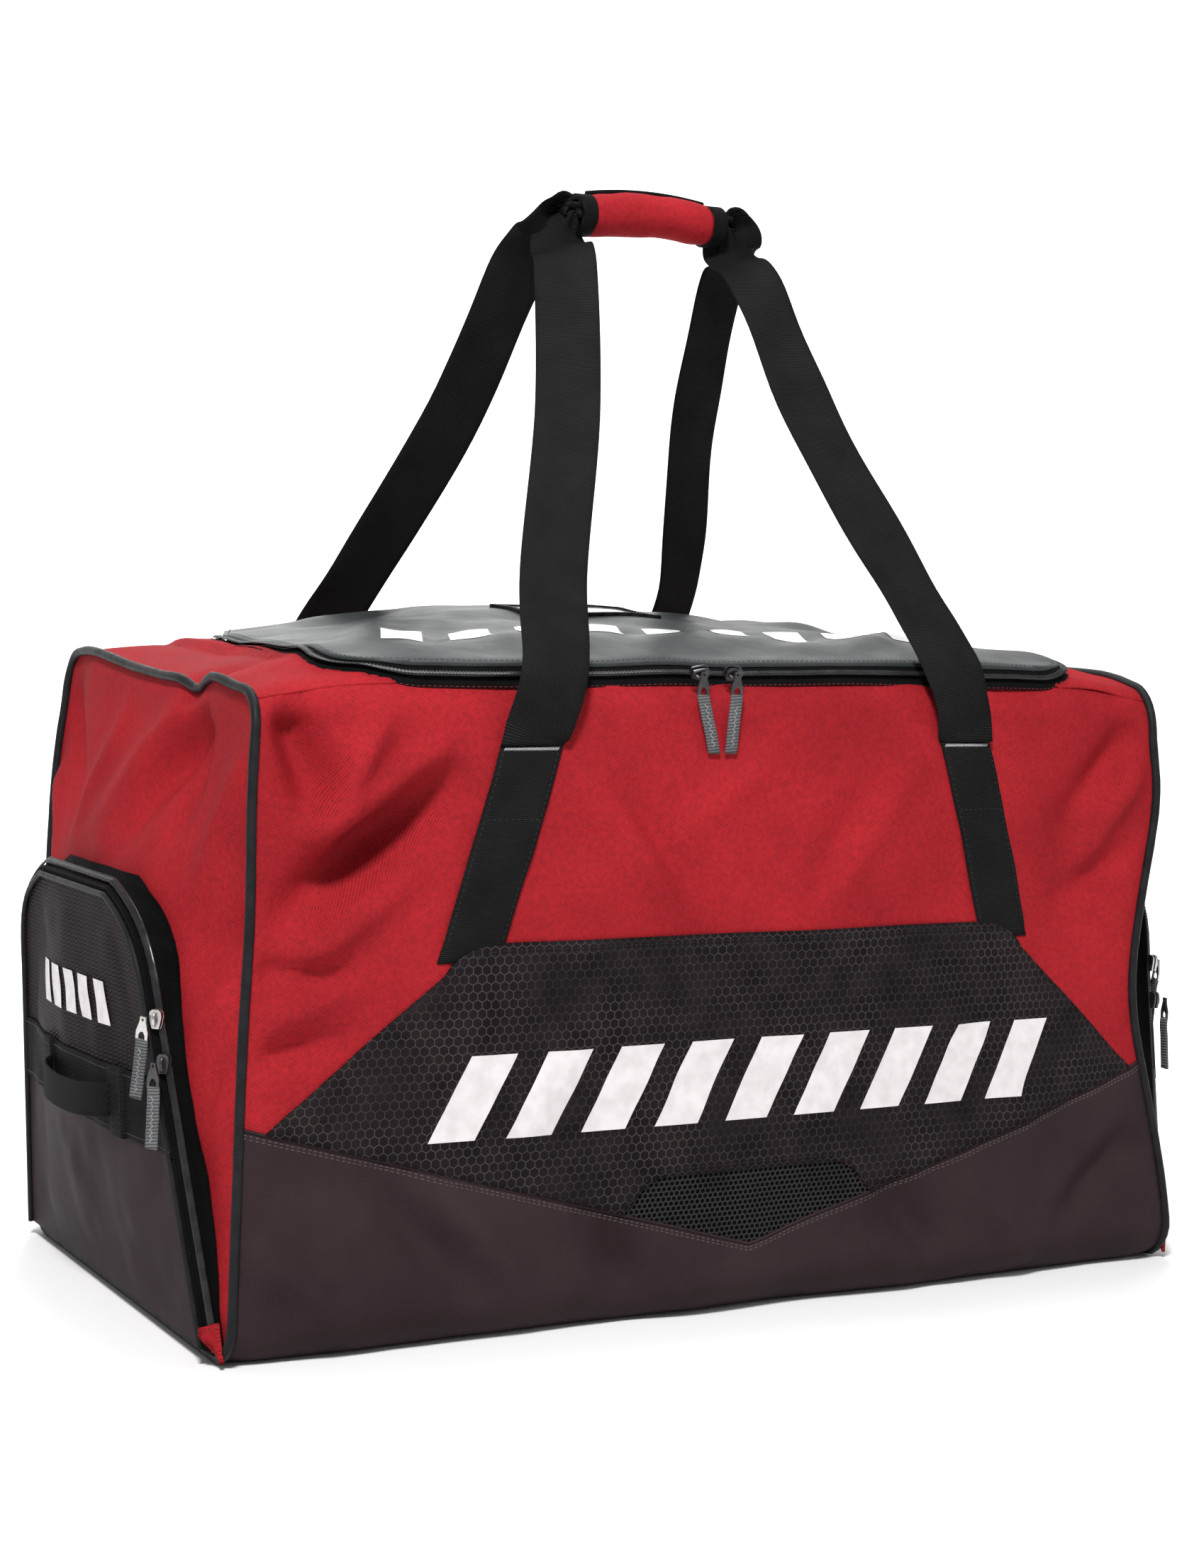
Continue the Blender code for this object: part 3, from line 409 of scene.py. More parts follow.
def roof(x, y, out=0.0):
    """The bag's top, at these places in plan."""
    x, y = np.asarray(x, float), np.asarray(y, float)
    edge_y, z, out_y, out_z = section(roof_reach(-np.abs(y)))
    side = np.where(y < 0, -1.0, 1.0)
    near_end = LENGTH / 2 - np.abs(x)
    rise = GUSSET_RISE * smooth((DEPTH / 2 - 0.014 - np.abs(y)) / 0.090) * smooth(near_end / 0.060)
    rise = rise + ZIP_RISE * smooth(inside_lid(x, y) / ZIP_TAPE_WIDTH) * smooth((LID_BACK - y) / 0.050)
    lift = out + 0.0016 * wander(x, y, 0.05, 11) * smooth(near_end / 0.02) + seam_valley(near_end) + rise
    return soften(x, -side * (edge_y + out_y * lift), z + out_z * lift)


def floor_wall(x, y, out=0.0):
    """The bag's underside, at these places in plan."""
    return soften(np.asarray(x, float), np.asarray(y, float), np.asarray(-out, float) + 0 * x)


def seam_height(x):
    """Height of the seam between the lower panel and what lies above it."""
    return SEAM_APEX + (SEAM_END - SEAM_APEX) * np.abs(x) / (LENGTH / 2 - SEAM_MARGIN)


# Wrinkles of the lid, in plan: start, end, width, height, peak
LID_FOLDS = (
    ((-0.290, -0.150), (-0.170, 0.060), 0.016, 0.0050, 0.45),
    ((-0.250, -0.170), (-0.120, 0.020), 0.013, -0.0040, 0.45),
    ((-0.200, -0.180), (-0.080, -0.040), 0.014, 0.0040, 0.45),
    ((-0.080, -0.170), (0.010, -0.030), 0.014, -0.0032, 0.50),
    ((-0.030, -0.150), (0.100, -0.040), 0.013, 0.0034, 0.50),
    ((0.020, -0.180), (0.170, -0.060), 0.014, -0.0036, 0.50),
    ((0.100, -0.190), (0.270, -0.020), 0.016, 0.0050, 0.45),
    ((0.180, -0.190), (0.300, -0.060), 0.013, -0.0040, 0.45),
    ((0.150, 0.020), (0.290, 0.120), 0.018, 0.0050, 0.50),
    ((0.080, 0.050), (0.230, 0.170), 0.014, -0.0036, 0.50),
    ((-0.290, 0.040), (-0.120, 0.130), 0.016, -0.0036, 0.50),
    ((-0.270, 0.090), (-0.110, 0.170), 0.014, 0.0034, 0.50),
)


def lid_roof(x, y, out=0.0):
    """The lid's crowned and wrinkled surface over the roof."""
    x, y = np.asarray(x, float), np.asarray(y, float)
    middle, half = (LID_FRONT + LID_BACK) / 2, (LID_BACK - LID_FRONT) / 2
    plan_x, plan_y = np.clip(np.abs(x) / LID_HALF, 0, 1), np.clip(np.abs(y - middle) / half, 0, 1)
    hold = (1 - plan_x**6) * (1 - plan_y**6)
    window = np.exp(-(((x - WINDOW_CENTRE[0]) / 0.075) ** 4) - (((y - WINDOW_CENTRE[1]) / 0.05) ** 4))
    ripple = folds(x, y, LID_FOLDS) + 0.0018 * wander(x, y, 0.045, 13) + 0.0024 * wander(x, y, 0.11, 14)
    back = np.clip((y - LID_FRONT) / (LID_BACK - LID_FRONT), 0, 1)
    rising = 1 - (1 - np.minimum(back / LID_CROWN_PEAK, 1)) ** 1.15
    falling = np.maximum(back - LID_CROWN_PEAK, 0) / (1 - LID_CROWN_PEAK)
    crown = LID_CROWN * (1 - plan_x**2) * rising * (1 - falling**2)
    points = roof(x, y, out)
    points[..., 2] += crown + ripple * hold * (1 - 0.8 * window)
    return points


def pocket_rim(z):
    """Distance of the pocket's rim from the middle of the bag, at this height."""
    share = (z - POCKET_BOTTOM) / (POCKET_TOP - POCKET_BOTTOM)
    return POCKET_OUT_BOTTOM + (POCKET_OUT_TOP - POCKET_OUT_BOTTOM) * share


def pocket_wall(side):
    """The pocket door's outer surface as a function of (y, z, distance out of it)."""

    def point(y, z, out=0.0):
        y, z = np.asarray(y, float), np.asarray(z, float)
        rise = np.clip((z - POCKET_BOTTOM) / (POCKET_TOP - POCKET_BOTTOM), 0, 1)
        width = POCKET_BOTTOM_HALF + (POCKET_TOP_HALF - POCKET_BOTTOM_HALF) * rise
        across = np.clip(np.abs(y) / width, 0, 1)
        belly = POCKET_BELLY * np.sin(math.pi * rise) * np.cos(math.pi / 2 * across)
        hold = smooth((1 - across) / 0.25) * smooth(rise / 0.12) * smooth((1 - rise) / 0.12)
        slack = 0.0026 * wander(y, z, 0.060, 17) + 0.0010 * wander(y, z, 0.022, 18)
        x = side * (pocket_rim(z) + belly + slack * hold + out)
        return np.stack([x + 0 * y, y + 0 * z, z + 0 * y], axis=-1)

    return point


# Mesh making


def in_scene(name, data):
    """A new object in the scene."""
    obj = bpy.data.objects.new(name, data)
    bpy.context.scene.collection.objects.link(obj)
    return obj


def linked(name, points, faces, material, uv=None):
    """A mesh object from its points and faces, with flat pattern places in metres as its UV map."""
    mesh = bpy.data.meshes.new(name)
    mesh.from_pydata([tuple(point) for point in points], [], [tuple(face) for face in faces])
    mesh.polygons.foreach_set("use_smooth", [True] * len(mesh.polygons))
    if uv is not None:
        layer = mesh.uv_layers.new(name="pattern")
        corners = np.empty(len(mesh.loops), np.int32)
        mesh.loops.foreach_get("vertex_index", corners)
        layer.data.foreach_set("uv", np.asarray(uv, np.float32)[corners].ravel())
    mesh.materials.append(material)
    return in_scene(name, mesh)


def placed(obj, body, surface, *nodes):
    """The piece rides on a body and stands for CAD nodes, which are hidden; surface is not used."""
    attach(obj, body)
    if nodes:
        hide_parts(*nodes)
    return obj


def open_line(places, step=0.006):
    """The same open line with points no further apart than step."""
    found = []
    for (x0, y0), (x1, y1) in zip(places, places[1:]):
        count = max(math.ceil(math.hypot(x1 - x0, y1 - y0) / step), 1)
        found += [(x0 + (x1 - x0) * i / count, y0 + (y1 - y0) * i / count) for i in range(count)]
    return found + [tuple(places[-1])]


def along_outline(outline, step):
    """Points round a closed outline, no further apart than step."""
    return open_line(list(outline) + [outline[0]], step)[:-1]


def inner_points(outline, step):
    """A staggered grid of points inside the outline, clear of its edge."""
    ring = np.array(outline)
    low, high = ring.min(0), ring.max(0)
    rows = np.arange(low[1] + step / 2, high[1], step * 0.87)
    columns = np.arange(low[0] + step / 2, high[0], step)
    x, y = np.meshgrid(columns, rows)
    x = x + (np.arange(len(rows)) % 2)[:, None] * step / 2
    x, y = x.ravel(), y.ravel()
    within = np.zeros(len(x), bool)
    nearest = np.full(len(x), 1e9)
    for (x0, y0), (x1, y1) in zip(ring, np.roll(ring, -1, axis=0)):
        if y0 != y1:
            within ^= ((y0 > y) != (y1 > y)) & (x < x0 + (y - y0) * (x1 - x0) / (y1 - y0))
        length = max((x1 - x0) ** 2 + (y1 - y0) ** 2, 1e-12)
        t = np.clip(((x - x0) * (x1 - x0) + (y - y0) * (y1 - y0)) / length, 0, 1)
        nearest = np.minimum(nearest, np.hypot(x - x0 - t * (x1 - x0), y - y0 - t * (y1 - y0)))
    keep = within & (nearest > step * 0.45)
    return list(zip(x[keep], y[keep]))


def sheet_parts(outline, wall, out, step, rim):
    """Points, faces and pattern places of a sheet on a wall, with its edge turned in by rim."""
    edge = along_outline(outline, step)
    flat = [Vector(point) for point in edge + inner_points(outline, step)]
    places, _, faces, *_ = delaunay_2d_cdt(flat, [], [list(range(len(edge)))], 1, 1e-7)
    u = np.array([place.x for place in places])
    v = np.array([place.y for place in places])
    points = wall(u, v, out)
    faces = np.array(faces)
    outward = wall(u, v, out + 0.001) - points
    a, b, c = (points[faces[:, k]] for k in range(3))
    if np.sum(np.cross(b - a, c - a) * outward[faces[:, 0]]) < 0:
        faces = faces[:, ::-1]
    uv = np.stack([u, v], axis=-1)
    if rim > 0:
        sides = np.concatenate([faces[:, [0, 1]], faces[:, [1, 2]], faces[:, [2, 0]]])
        keys = {(a, b) for a, b in sides}
        border = [(a, b) for a, b in sides if (b, a) not in keys]
        used = sorted({a for pair in border for a in pair})
        below = {a: len(points) + index for index, a in enumerate(used)}
        points = np.concatenate([points, wall(u[used], v[used], out - rim)])
        uv = np.concatenate([uv, uv[used] + 0.0005])
        strip = [face for a, b in border for face in ((b, a, below[a]), (b, below[a], below[b]))]
        faces = np.concatenate([faces, np.array(strip)])
    return points, faces, uv


def sheet_on(name, outlines, wall, material, out=0.0, step=PANEL_STEP, rim=0.0):
    """A sheet, or several in one object, lying on a wall."""
    points, faces, uv = [], [], []
    start = 0
    for outline in outlines:
        some_points, some_faces, some_uv = sheet_parts(outline, wall, out, step, rim)
        points.append(some_points)
        faces.append(some_faces + start)
        uv.append(some_uv)
        start += len(some_points)
    return linked(name, np.concatenate(points), np.concatenate(faces), material, np.concatenate(uv))


def unit(vectors):
    """Each row's direction, one long."""
    return vectors / np.linalg.norm(vectors, axis=1)[:, None]


def reached(line):
    """How far along a line each of its points lies."""
    return np.concatenate([[0], np.cumsum(np.linalg.norm(np.diff(line, axis=0), axis=1))])


def picked(line, reach, at):
    """The points of a line that lie this far along it."""
    return np.stack([np.interp(at, reach, line[:, k]) for k in range(line.shape[1])], axis=-1)


def frames_along(points):
    """The direction along a line at each of its points."""
    ahead = np.roll(points, -1, axis=0)
    behind = np.roll(points, 1, axis=0)
    ahead[-1], behind[0] = points[-1], points[0]
    return unit(ahead - behind)


def swept(name, rings, material, closed=False):
    """A skin over rings of points, which all have the same number of points. UVs run round and along."""
    rings = np.asarray(rings, float)
    count, sides = rings.shape[:2]
    faces = []
    last = count if closed else count - 1
    for i in range(last):
        j = (i + 1) % count
        for k in range(sides):
            m = (k + 1) % sides
            faces.append((i * sides + k, i * sides + m, j * sides + m, j * sides + k))
    if not closed:
        faces.append(tuple(range(sides))[::-1])
        faces.append(tuple((count - 1) * sides + k for k in range(sides)))
    around = reached(rings[count // 2])
    uv = np.stack([np.tile(around, count), np.repeat(reached(rings.mean(axis=1)), sides)], axis=-1)
    obj = linked(name, rings.reshape(-1, 3), faces, material, uv)
    make_outward(obj)
    return obj


def make_outward(obj):
    """Turns the faces outwards, for a closed or nearly closed mesh."""
    mesh = bmesh.new()
    mesh.from_mesh(obj.data)
    bmesh.ops.recalc_face_normals(mesh, faces=mesh.faces)
    mesh.to_mesh(obj.data)
    mesh.free()


def tube(name, points, radius, material, sides=8, closed=False):
    """A round tube along a line; radius is a number or one for each point."""
    points = np.asarray(points, float)
    if closed:
        along = unit(np.roll(points, -1, axis=0) - np.roll(points, 1, axis=0))
    else:
        along = frames_along(points)
    # each ring's own direction is carried on from the ring before it, so that the tube doesn't twist
    across = np.empty_like(along)
    carried = np.eye(3)[np.argmin(np.ptp(points, axis=0))]
    for index, tangent in enumerate(along):
        carried = carried - tangent * np.dot(carried, tangent)
        if np.linalg.norm(carried) < 0.05:
            carried = np.cross(tangent, (0.3, 0.5, 0.8))
        carried = carried / np.linalg.norm(carried)
        across[index] = carried
    up = np.cross(across, along)
    turns = np.linspace(0, 2 * math.pi, sides, endpoint=False)
    radii = np.broadcast_to(np.asarray(radius, float), (len(points),))[:, None, None]
    rings = points[:, None, :] + radii * (
        np.cos(turns)[None, :, None] * across[:, None, :] + np.sin(turns)[None, :, None] * up[:, None, :]
    )
    return swept(name, rings, material, closed)


def stitches_at(points, normals, along, length, width, height):
    """Points and faces of a row of stitches: small beads of thread, lying along a line."""
    across = unit(np.cross(normals, along))
    corners = (
        points - along * length / 2,
        points + across * width / 2 + normals * height * 0.3,
        points - across * width / 2 + normals * height * 0.3,
        points + normals * height,
        points + along * length / 2,
    )
    beads = np.stack(corners, axis=1)
    face = np.array([(0, 1, 3), (0, 3, 2), (4, 3, 1), (4, 2, 3)])
    faces = (face[None, :, :] + 5 * np.arange(len(points))[:, None, None]).reshape(-1, 3)
    return beads.reshape(-1, 3), faces


def even_line(line, spacing):
    """Points along a line, evenly spaced."""
    line = np.asarray(line, float)
    reach = reached(line)
    count = max(int(reach[-1] / spacing), 1)
    return picked(line, reach, (np.arange(count) + 0.5) * reach[-1] / count)


STITCH = (0.0030, 0.0009, 0.0006)  # a stitch's length, width and height
FINE_STITCH = (0.0019, 0.0006, 0.0004)
TACK_STITCH = (0.0034, 0.0009, 0.0007)
STITCH_SPACING = 0.0042


def stitched(name, lines, wall, out, material, spacing=STITCH_SPACING, size=STITCH, slant=0.0):
    """Rows of stitches on a wall, along lines given in the wall's own places."""
    points, faces, start = [], [], 0
    for line in lines:
        places = even_line(line, spacing)
        along = frames_along(places)
        turned = along + slant * np.stack([-along[:, 1], along[:, 0]], axis=-1)
        here = wall(places[:, 0], places[:, 1], out)
        ahead = wall(places[:, 0] + turned[:, 0] * 0.001, places[:, 1] + turned[:, 1] * 0.001, out) - here
        above = wall(places[:, 0], places[:, 1], out + 0.001) - here
        beads, bead_faces = stitches_at(here, unit(above), unit(ahead), *size)
        points.append(beads)
        faces.append(bead_faces + start)
        start += len(beads)
    return linked(name, np.concatenate(points), np.concatenate(faces), material)


def mirrored(outline):
    """The outline's points on the other side of the middle, in the order that goes on round it."""
    return [(-x, y) for x, y in reversed(outline)]


def arc(centre, radius, start, end, count):
    """Points on an arc between two directions, in degrees."""
    turns = np.radians(np.linspace(start, end, count + 1))
    return [(centre[0] + radius * math.cos(turn), centre[1] + radius * math.sin(turn)) for turn in turns]


def joined(name, objects):
    """One object from several, which keep their materials."""
    bpy.ops.object.select_all(action="DESELECT")
    for obj in objects:
        obj.select_set(True)
    bpy.context.view_layer.objects.active = objects[0]
    bpy.ops.object.join()
    objects[0].name = name
    objects[0].data.name = name
    return objects[0]


# Materials


CLOTH_GLOSS = 0.02  # cloth is rough all through, so it mirrors less than a smooth surface


class Shader:
    """A material's node tree, with short ways to add what fabrics and plastics need."""

    def __init__(self, name, colour, roughness, **sockets):
        self.material = bpy.data.materials.new(name)
        self.material.use_nodes = True
        self.material.diffuse_color = (*colour, 1.0)
        self.tree = self.material.node_tree
        self.base = self.tree.nodes["Principled BSDF"]
        self.base.inputs["Base Color"].default_value = (*colour, 1.0)
        self.base.inputs["Roughness"].default_value = roughness
        self.base.inputs["Specular IOR Level"].default_value = CLOTH_GLOSS
        for socket, value in sockets.items():
            self.base.inputs[socket].default_value = value
        self.colour = colour
        self.height = None

    def add(self, kind, inputs=(), **settings):
        """A node with its inputs, which are values or other nodes' sockets, and its settings."""
        node = self.tree.nodes.new(kind)
        for key, value in settings.items():
            setattr(node, key, value)
        for socket, value in dict(inputs).items():
            if isinstance(value, bpy.types.NodeSocket):
                self.tree.links.new(value, node.inputs[socket])
            else:
                node.inputs[socket].default_value = value
        return node

    def math(self, operation, a, b=0.0, c=0.0):
        """Arithmetic with numbers."""
        return self.add("ShaderNodeMath", {0: a, 1: b, 2: c}, operation=operation).outputs[0]

    def pattern(self):
        """Places on the flat pattern, in metres."""
        return self.add("ShaderNodeUVMap", uv_map="pattern").outputs[0]

    def place(self):
        """Places in space, in metres."""
        return self.add("ShaderNodeNewGeometry").outputs["Position"]

    def vectors(self, operation, first, second=(0.0, 0.0, 0.0)):
        """Arithmetic with vectors; a dot product gives a number."""
        node = self.add("ShaderNodeVectorMath", {0: first, 1: second}, operation=operation)
        return node.outputs["Value" if operation == "DOT_PRODUCT" else "Vector"]

    def stripes(self, direction, pitch):
        """Waves from -1 to 1 across a direction of the flat pattern."""
        turn = 2 * math.pi / pitch
        return self.math("SINE", self.vectors("DOT_PRODUCT", self.pattern(),
                                              (direction[0] * turn, direction[1] * turn, 0.0)))

    def noise(self, size, detail=2.0, roughness=0.5):
        """Soft noise from 0 to 1, its patches about size across."""
        inputs = {"Vector": self.place(), "Scale": 1 / size, "Detail": detail, "Roughness": roughness}
        return self.add("ShaderNodeTexNoise", inputs).outputs["Fac"]

    def between(self, value, low, high, to_low=0.0, to_high=1.0):
        """A value's place between two others, stretched to run from to_low to to_high."""
        inputs = {"Value": value, "From Min": low, "From Max": high, "To Min": to_low, "To Max": to_high}
        return self.add("ShaderNodeMapRange", inputs).outputs["Result"]

    def mixed(self, share, first, second):
        """Two colours mixed by a share; either may be a socket."""
        node = self.add("ShaderNodeMix", {"Factor": share}, data_type="RGBA")
        for socket, value in ((node.inputs[6], first), (node.inputs[7], second)):
            if isinstance(value, bpy.types.NodeSocket):
                self.tree.links.new(value, socket)
            else:
                socket.default_value = (*value, 1.0)
        return node.outputs[2]

    def paint(self, colour):
        """Gives the surface its colour."""
        self.tree.links.new(colour, self.base.inputs["Base Color"])

    def gloss(self, roughness):
        """Gives the surface its roughness."""
        self.tree.links.new(roughness, self.base.inputs["Roughness"])

    def bump(self, height, distance, strength=1.0):
        """Adds a relief to the reliefs that the surface has already."""
        inputs = {"Height": height, "Distance": distance, "Strength": strength}
        if self.height is not None:
            inputs["Normal"] = self.height
        self.height = self.add("ShaderNodeBump", inputs).outputs["Normal"]
        self.tree.links.new(self.height, self.base.inputs["Normal"])


def shade(colour, factor):
    """A lighter or darker colour."""
    return tuple(min(channel * factor, 1.0) for channel in colour)


RED = (0.300, 0.0140, 0.0190)
DARK_THREAD = (0.034, 0.007, 0.009)
WEAVE_PITCH = 0.0030


def make_red_cloth(name, colour=RED):
    """Plain-woven polyester: red threads crossed by dark ones, which show as fine slanting specks."""
    cloth = Shader(name, colour, 0.66)
    rising = cloth.stripes((0.92, 0.38), WEAVE_PITCH * 0.72)
    falling = cloth.stripes((0.30, -0.95), WEAVE_PITCH * 0.55)
    weave = cloth.math("MULTIPLY", rising, falling)
    specks = cloth.between(weave, -0.05, 0.65)
    uneven = cloth.noise(0.0035, 3.0)
    patchy = cloth.noise(0.09, 3.0)
    share = cloth.math("MULTIPLY", specks, cloth.between(uneven, 0.30, 0.70, 0.15, 1.0))
    body = cloth.mixed(cloth.between(patchy, 0.3, 0.7), shade(colour, 0.88), shade(colour, 1.22))
    cloth.paint(cloth.mixed(share, body, DARK_THREAD))
    cloth.gloss(cloth.between(patchy, 0.3, 0.7, 0.56, 0.70))
    cloth.bump(weave, 0.00025, 0.6)
    cloth.bump(cloth.noise(0.012, 3.0), 0.0006, 0.35)
    return cloth.material


def make_coated_cloth(name):
    """Coated polyester of the lower panels: a close weave under a satin coat."""
    colour = (0.031, 0.0200, 0.0225)
    cloth = Shader(name, colour, 0.48)
    across = cloth.stripes((1.0, 0.0), 0.0011)
    up = cloth.stripes((0.0, 1.0), 0.0013)
    weave = cloth.math("MULTIPLY", across, up)
    patchy = cloth.noise(0.07, 3.0)
    body = cloth.mixed(cloth.between(patchy, 0.3, 0.7), shade(colour, 0.82), shade(colour, 1.18))
    cloth.paint(cloth.mixed(cloth.between(weave, -0.2, 1.0, 0.0, 0.35), body, shade(colour, 0.45)))
    cloth.gloss(cloth.between(patchy, 0.3, 0.7, 0.42, 0.55))
    cloth.bump(weave, 0.00018, 0.5)
    cloth.bump(cloth.noise(0.015, 3.0), 0.0008, 0.35)
    return cloth.material


def hexagons(cloth, pitch):
    """How near each place of the pattern is to the edge of its hexagon, from 0 in the middle to 0.5."""
    cell = (pitch, pitch * math.sqrt(3), 1.0)
    half = (pitch / 2, pitch * math.sqrt(3) / 2, 0.0)
    # the pattern is moved well away from 0, since the remainder of a negative place would be negative
    moved = cloth.vectors("ADD", cloth.pattern(), (10.0, 10.0, 0.0))
    nearest = []
    for shift in ((0.0, 0.0, 0.0), half):
        within = cloth.vectors("MODULO", cloth.vectors("SUBTRACT", moved, shift), cell)
        folded = cloth.vectors("ABSOLUTE", cloth.vectors("SUBTRACT", within, half))
        slanted = cloth.vectors("DOT_PRODUCT", folded, (0.5, 0.8660, 0.0))
        straight = cloth.vectors("DOT_PRODUCT", folded, (1.0, 0.0, 0.0))
        nearest.append(cloth.math("MAXIMUM", slanted, straight))
    return cloth.math("DIVIDE", cloth.math("MINIMUM", *nearest), pitch)


def make_overlay_cloth(name):
    """Printed ripstop: fine grey hexagons on near-black cloth."""
    colour = (0.0100, 0.0076, 0.0082)
    cloth = Shader(name, colour, 0.42)
    edge = hexagons(cloth, 0.0068)
    line = cloth.between(edge, 0.435, 0.475)
    faded = cloth.between(cloth.noise(0.05, 3.0), 0.35, 0.65, 0.25, 1.0)
    uneven = cloth.between(cloth.noise(0.02, 3.0), 0.3, 0.7)
    body = cloth.mixed(uneven, shade(colour, 0.8), shade(colour, 1.5))
    cloth.paint(cloth.mixed(cloth.math("MULTIPLY", line, faded), body, (0.060, 0.048, 0.048)))
    weave = cloth.math("MULTIPLY", cloth.stripes((1.0, 0.0), 0.0010), cloth.stripes((0.0, 1.0), 0.0010))
    cloth.gloss(cloth.between(line, 0.0, 1.0, 0.44, 0.34))
    cloth.bump(line, 0.00030, 0.7)
    cloth.bump(weave, 0.00012, 0.4)
    cloth.bump(cloth.noise(0.012, 3.0), 0.0006, 0.3)
    return cloth.material


def make_mesh_cloth(name, pitch, lattice, depth):
    """Knitted mesh: dark threads round open cells, whose holes are painted near-black as painted shade of the
    hollow behind them.
    """
    cloth = Shader(name, lattice, 0.45)
    edge = hexagons(cloth, pitch)
    thread = cloth.between(edge, 0.28, 0.42)
    uneven = cloth.between(cloth.noise(0.03, 2.0), 0.3, 0.7, 0.7, 1.3)
    # painted shade: the open cells between the threads are painted near-black, for the shade in the hollow
    # behind the mesh
    cloth.paint(cloth.mixed(cloth.math("MULTIPLY", thread, uneven), (0.002, 0.002, 0.002), lattice))
    cloth.gloss(cloth.between(thread, 0.0, 1.0, 0.8, 0.35))
    cloth.bump(thread, depth, 1.0)
    cloth.bump(cloth.noise(0.014, 2.0), 0.0006, 0.3)
    return cloth.material


def make_zigzag_cloth(name):
    """The pockets' upper panel: near-black cloth with a fine knitted zigzag."""
    colour = (0.0135, 0.0095, 0.0100)
    cloth = Shader(name, colour, 0.50)
    wobble = cloth.math("MULTIPLY", cloth.stripes((1.0, 0.0), 0.0080), 1.1)
    turn = 2 * math.pi / 0.0030
    up = cloth.vectors("DOT_PRODUCT", cloth.pattern(), (0.0, turn, 0.0))
    waves = cloth.math("SINE", cloth.math("ADD", up, wobble))
    cloth.paint(cloth.mixed(cloth.between(waves, -0.4, 0.9), shade(colour, 0.45), shade(colour, 1.7)))
    cloth.bump(waves, 0.00030, 0.8)
    cloth.bump(cloth.noise(0.014, 2.0), 0.0006, 0.3)
    return cloth.material


def make_webbing(name, colour, pitch=0.0015):
    """Ribbed webbing: the ribs lie across it, and its threads twill along them."""
    cloth = Shader(name, colour, 0.60)
    ribs = cloth.stripes((0.10, 1.0), pitch)
    threads = cloth.stripes((1.0, 0.45), 0.0012)
    weave = cloth.math("ADD", cloth.math("MULTIPLY", ribs, 0.75), cloth.math("MULTIPLY", threads, 0.25))
    uneven = cloth.between(cloth.noise(0.03, 3.0), 0.3, 0.7, 0.0, 0.5)
    body = cloth.mixed(uneven, colour, shade(colour, 1.9))
    cloth.paint(cloth.mixed(cloth.between(weave, 0.1, -0.9), body, shade(colour, 0.30)))
    cloth.bump(weave, 0.00035, 0.8)
    return cloth.material


def make_tarpaulin(name):
    """The lid: a glossy coated sheet with small wrinkles and scuffs."""
    colour = (0.026, 0.029, 0.030)
    sheet = Shader(name, colour, 0.42)
    sheet.base.inputs["Specular IOR Level"].default_value = 0.15
    scuffs = sheet.noise(0.03, 5.0, roughness=0.65)
    sheet.paint(sheet.mixed(sheet.between(scuffs, 0.3, 0.7), shade(colour, 0.85), shade(colour, 1.2)))
    sheet.gloss(sheet.between(scuffs, 0.3, 0.7, 0.36, 0.48))
    scrim = sheet.math("MULTIPLY", sheet.stripes((1.0, 0.0), 0.0016), sheet.stripes((0.0, 1.0), 0.0016))
    sheet.bump(scrim, 0.00006, 0.5)
    sheet.bump(sheet.noise(0.035, 2.0), 0.0012, 0.4)
    return sheet.material


def make_plain(name, colour, roughness, grain=0.0012, depth=0.0001, worn=1.25, metal=0.0, mirror=0.3):
    """Moulded plastic, thread, print or metal, with fine grain and slightly uneven colour and gloss."""
    made = Shader(name, colour, roughness)
    made.base.inputs["Metallic"].default_value = metal
    made.base.inputs["Specular IOR Level"].default_value = mirror
    uneven = made.noise(0.010, 4.0)
    made.paint(made.mixed(made.between(uneven, 0.35, 0.65), colour, shade(colour, worn)))
    made.gloss(made.between(uneven, 0.3, 0.7, roughness * 0.85, min(roughness * 1.2, 1.0)))
    made.bump(made.noise(grain, 2.0), depth, 0.5)
    return made.material


def make_vinyl(name):
    """The card window: clear soft vinyl with faint ripples."""
    clear = Shader(name, (0.80, 0.84, 0.82), 0.06, Alpha=0.28)
    clear.base.inputs["Specular IOR Level"].default_value = 0.8
    clear.bump(clear.noise(0.02, 2.0), 0.0010, 0.4)
    clear.gloss(clear.between(clear.noise(0.01, 3.0), 0.3, 0.7, 0.04, 0.14))
    return clear.material


